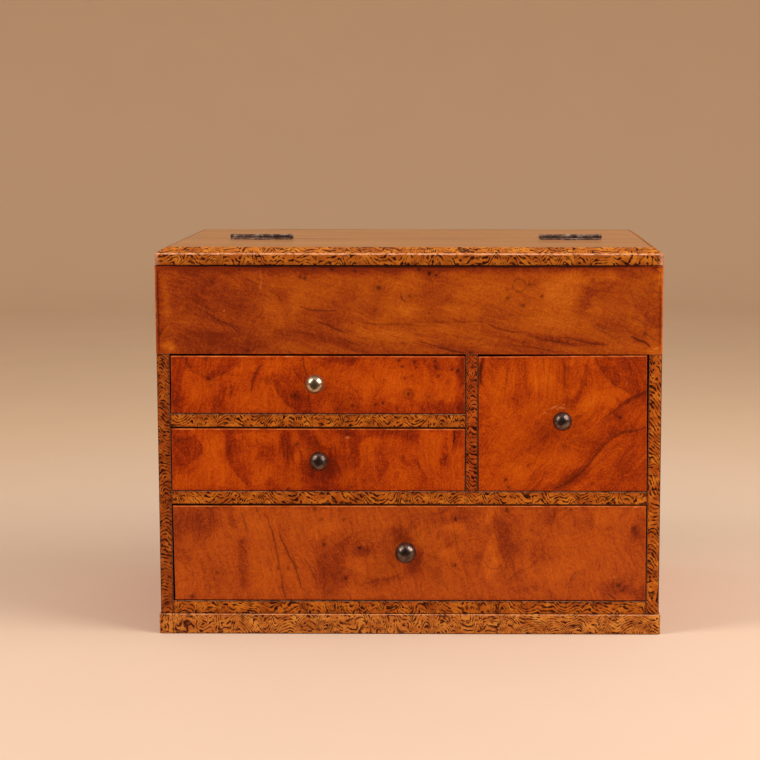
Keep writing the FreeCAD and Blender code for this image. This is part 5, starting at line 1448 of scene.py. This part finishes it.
class SEWINGBOX_OT_hinges(bpy.types.Operator):
    """Hinge leaves with lobed edges, rolled knuckles, pins and slotted screws"""
    bl_idname = "sewing_box.hinges"
    bl_label = "Hinges"

    def execute(self, context):
        metal = finished("crusted_brass", worn_metal, "#A8907C", "#684838", "#38221C", 0.07, (0.35, 0.60),
                         0.80, 0.45)
        # each screw's distance along the leaf and out from the pin, and the turn of its slot
        holes = ((-15.5, 5.2, 0.5), (0, 8.4, 1.9), (15.5, 5.2, 2.6))
        screws = {"lid": [], "case": []}
        for hinge in ("hinge_left", "hinge_right"):
            low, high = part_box(hinge + "_case_leaf")
            middle, half = (low.x + high.x) / 2, (high.x - low.x) / 2
            for part, side in (("lid", -1), ("case", 1)):
                node = hinge + "_" + part + "_leaf"
                shape = joined([leaf_plate(middle, half, side)] + knuckles(middle, half, side))
                add_piece(node + "_worn", shape, metal, [node])
                screws[part] += [screw(middle + along * MM, PIN_Y + side * out * MM, turn)
                                 for along, out, turn in holes]
            rod = turned(pin_profile(half), (middle, PIN_Y, PIN_Z), (1, 0, 0), 24)
            add_piece(hinge + "_pin_rod", rod, metal, [hinge + "_pin"], sharp=50)
        for part, heads in screws.items():
            add_piece("hinge_" + part + "_slotted_screws", joined(heads), metal,
                      ["hinge_" + part + "_screws"])
        return {"FINISHED"}


def leaf_plate(middle, half, side):
    """Stamped plate: its outer edge is a level line with rounded ends and a cosine lobe in the middle."""
    edge, end_radius, lobe_height, lobe_reach = 8.0, 3, 4, 10.5  # millimetres

    def outline(u, v, inset):
        along = (2 * u - 1) * (half - inset[0])
        far = np.abs(along) / MM
        ease = np.clip((far - (half / MM - end_radius)) / end_radius, 0, 1)
        lobe = np.cos(np.pi / 2 * np.clip(far / lobe_reach, 0, 1)) ** 1.6
        width = edge - end_radius * (1 - np.sqrt(1 - ease * ease)) + lobe_height * lobe
        width = width * MM - inset[0]
        start = REACH + inset[0]
        y = start + v * (width - start)
        return (middle + along, PIN_Y + y) if side > 0 else (middle + along, PIN_Y - width - start + y)
    return slab(outline, LID_TOP + LEAF, LEAF, 0.28 * MM, (84, 14), "top", waves(0.05, 9, 160), 0.03 * MM)


def knuckles(middle, half, side):
    """Rolled knuckles: a circle round the pin that runs off tangent into the plate, carried along it."""
    count, gap, radius, overlap, step = 5, 0.25 * MM, 1.45 * MM, 0.5 * MM, 2 * MM
    meet = math.degrees(math.asin((PIN_Z - LID_TOP - LEAF) / radius))
    # a profile point is its distance in from the pin and its height
    profile = [(REACH + overlap, LID_TOP), (REACH + overlap, LID_TOP + LEAF)]
    profile += arc((0, PIN_Z), radius, -meet, 270, 26)
    if side > 0:
        profile = [(-y, z) for y, z in profile][::-1]
    pitch = 2 * half / count
    shapes = []
    for index in range(0 if side > 0 else 1, count, 2):
        start = middle - half + index * pitch + gap / 2
        shape = moulding(profile, np.zeros(len(profile)), (start, 0), (start + pitch - gap, 0), -PIN_Y,
                         "front", step, (0.15 * MM,))
        shape["values"]["rim"] = np.zeros(len(shape["points"]))
        shapes.append(shape)
    return shapes


def pin_profile(half):
    """Rod with a small domed head at each end."""
    rod, head = 0.75 * MM, 1.25 * MM
    dome = [(0.9, 0), (0.85, head * 0.45), (0.7, head * 0.8), (0.45, head * 0.97), (0.2, head), (0.08, head),
            (0.08, rod)]
    dome = [(half + out * MM, radius) for out, radius in dome]
    return [(-x, r) for x, r in dome] + dome[::-1]


def screw(x, y, turn):
    """Slotted head, a disc whose slot is a sunk band across it, over a tapered shank."""
    head_radius, head_height, proud = 1.7 * MM, 0.9 * MM, 0.08 * MM
    slot, slot_depth, softness = 0.32 * MM, 0.5 * MM, 0.04 * MM
    neck, shank, thread_end, point = 1.5 * MM, 0.8 * MM, 5.2 * MM, 6.9 * MM

    def relief(a, b):
        across = (b - y) * math.cos(turn) - (a - x) * math.sin(turn)
        return slot_depth / (1 + np.exp((np.abs(across) - slot) / softness))
    top = LID_TOP + LEAF + proud
    head = slab(disc(x, y, head_radius, turn), top, head_height, 0.2 * MM, (20, 40), "top", relief, 0.1 * MM)
    body = turned([(0, 0), (0, neck), (0.9 * MM, shank), (thread_end, shank), (point, 0)],
                  (x, y, top - 0.7 * MM), (0, 0, -1), 16)
    body["values"]["rim"] = np.zeros(len(body["points"]))
    return joined([head, body])


class SEWINGBOX_OT_inner_boards(bpy.types.Operator):
    """Plain boards of the case and the drawer boxes, with eased edges"""
    bl_idname = "sewing_box.inner_boards"
    bl_label = "Inner boards"

    def execute(self, context):
        case = {"bottom_board": "x", "compartment_floor": "x", "middle_shelf": "x", "small_drawer_shelf": "x",
                "bay_divider": "z", "upper_front_board": "x"}
        for index, (node, along) in enumerate(case.items()):
            tones = ("#6A3216", "#4C200E") if node == "upper_front_board" else CASE_TONES
            finish_board(node, plain_wood("case_" + node, *tones, along, 0.11 * index))
        parts = {"_side_left": "y", "_side_right": "y", "_back": "x", "_bottom": "x"}
        for number, drawer in enumerate(DRAWERS):
            for index, (part, along) in enumerate(parts.items()):
                material = plain_wood("wood_" + drawer + part, "#C79A68", "#A06F42", along,
                                      0.07 * index + 0.31 * number)
                finish_board(drawer + part, material)
        return {"FINISHED"}


def finish_board(node, material, weld=0.002 * MM, arris=0.35 * MM):
    """Give a CAD board its wood, weld its faces and ease its edges."""
    board = frame["nodes"][node]
    board.data.materials.clear()
    board.data.materials.append(material)
    board.modifiers.new("weld", "WELD").merge_threshold = weld
    flat = board.modifiers.new("flat", "DECIMATE")
    flat.decimate_type, flat.angle_limit = "DISSOLVE", math.radians(1)
    ease = board.modifiers.new("ease", "BEVEL")
    ease.width, ease.segments, ease.limit_method = arris, 2, "ANGLE"


class SEWINGBOX_PT_panel(bpy.types.Panel):
    """Lists the pieces and their sizes"""
    bl_idname = "SEWINGBOX_PT_panel"
    bl_label = "Sewing Box"
    bl_space_type = "VIEW_3D"
    bl_region_type = "UI"
    bl_category = "Sewing Box"

    def draw(self, context):
        for group in (context.scene.sewing_box_sizes, context.scene.sewing_box_studio):
            for key in group.bl_rna.properties.keys():
                if key not in ("rna_type", "name"):
                    self.layout.prop(group, key)
        for operator in OPERATORS:
            self.layout.operator(operator.bl_idname)


OPERATORS = (SEWINGBOX_OT_stage, SEWINGBOX_OT_drawer_fronts, SEWINGBOX_OT_upper_board,
             SEWINGBOX_OT_front_edging, SEWINGBOX_OT_plinth, SEWINGBOX_OT_top_edging,
             SEWINGBOX_OT_top_boards, SEWINGBOX_OT_case_sides, SEWINGBOX_OT_knobs, SEWINGBOX_OT_hinges,
             SEWINGBOX_OT_inner_boards)
CLASSES = (BoxSettings, StudioSettings, *OPERATORS, SEWINGBOX_PT_panel)


def register():
    for entry in CLASSES:
        bpy.utils.register_class(entry)
    bpy.types.Scene.sewing_box_sizes = bpy.props.PointerProperty(type=BoxSettings)
    bpy.types.Scene.sewing_box_studio = bpy.props.PointerProperty(type=StudioSettings)


def unregister():
    del bpy.types.Scene.sewing_box_sizes
    del bpy.types.Scene.sewing_box_studio
    for entry in reversed(CLASSES):
        bpy.utils.unregister_class(entry)


def main():
    """Register the add-on and make every piece in order."""
    register()
    for operator in OPERATORS:
        group, name = operator.bl_idname.split(".")
        getattr(getattr(bpy.ops, group), name)()


if __name__ == "__main__":
    main()
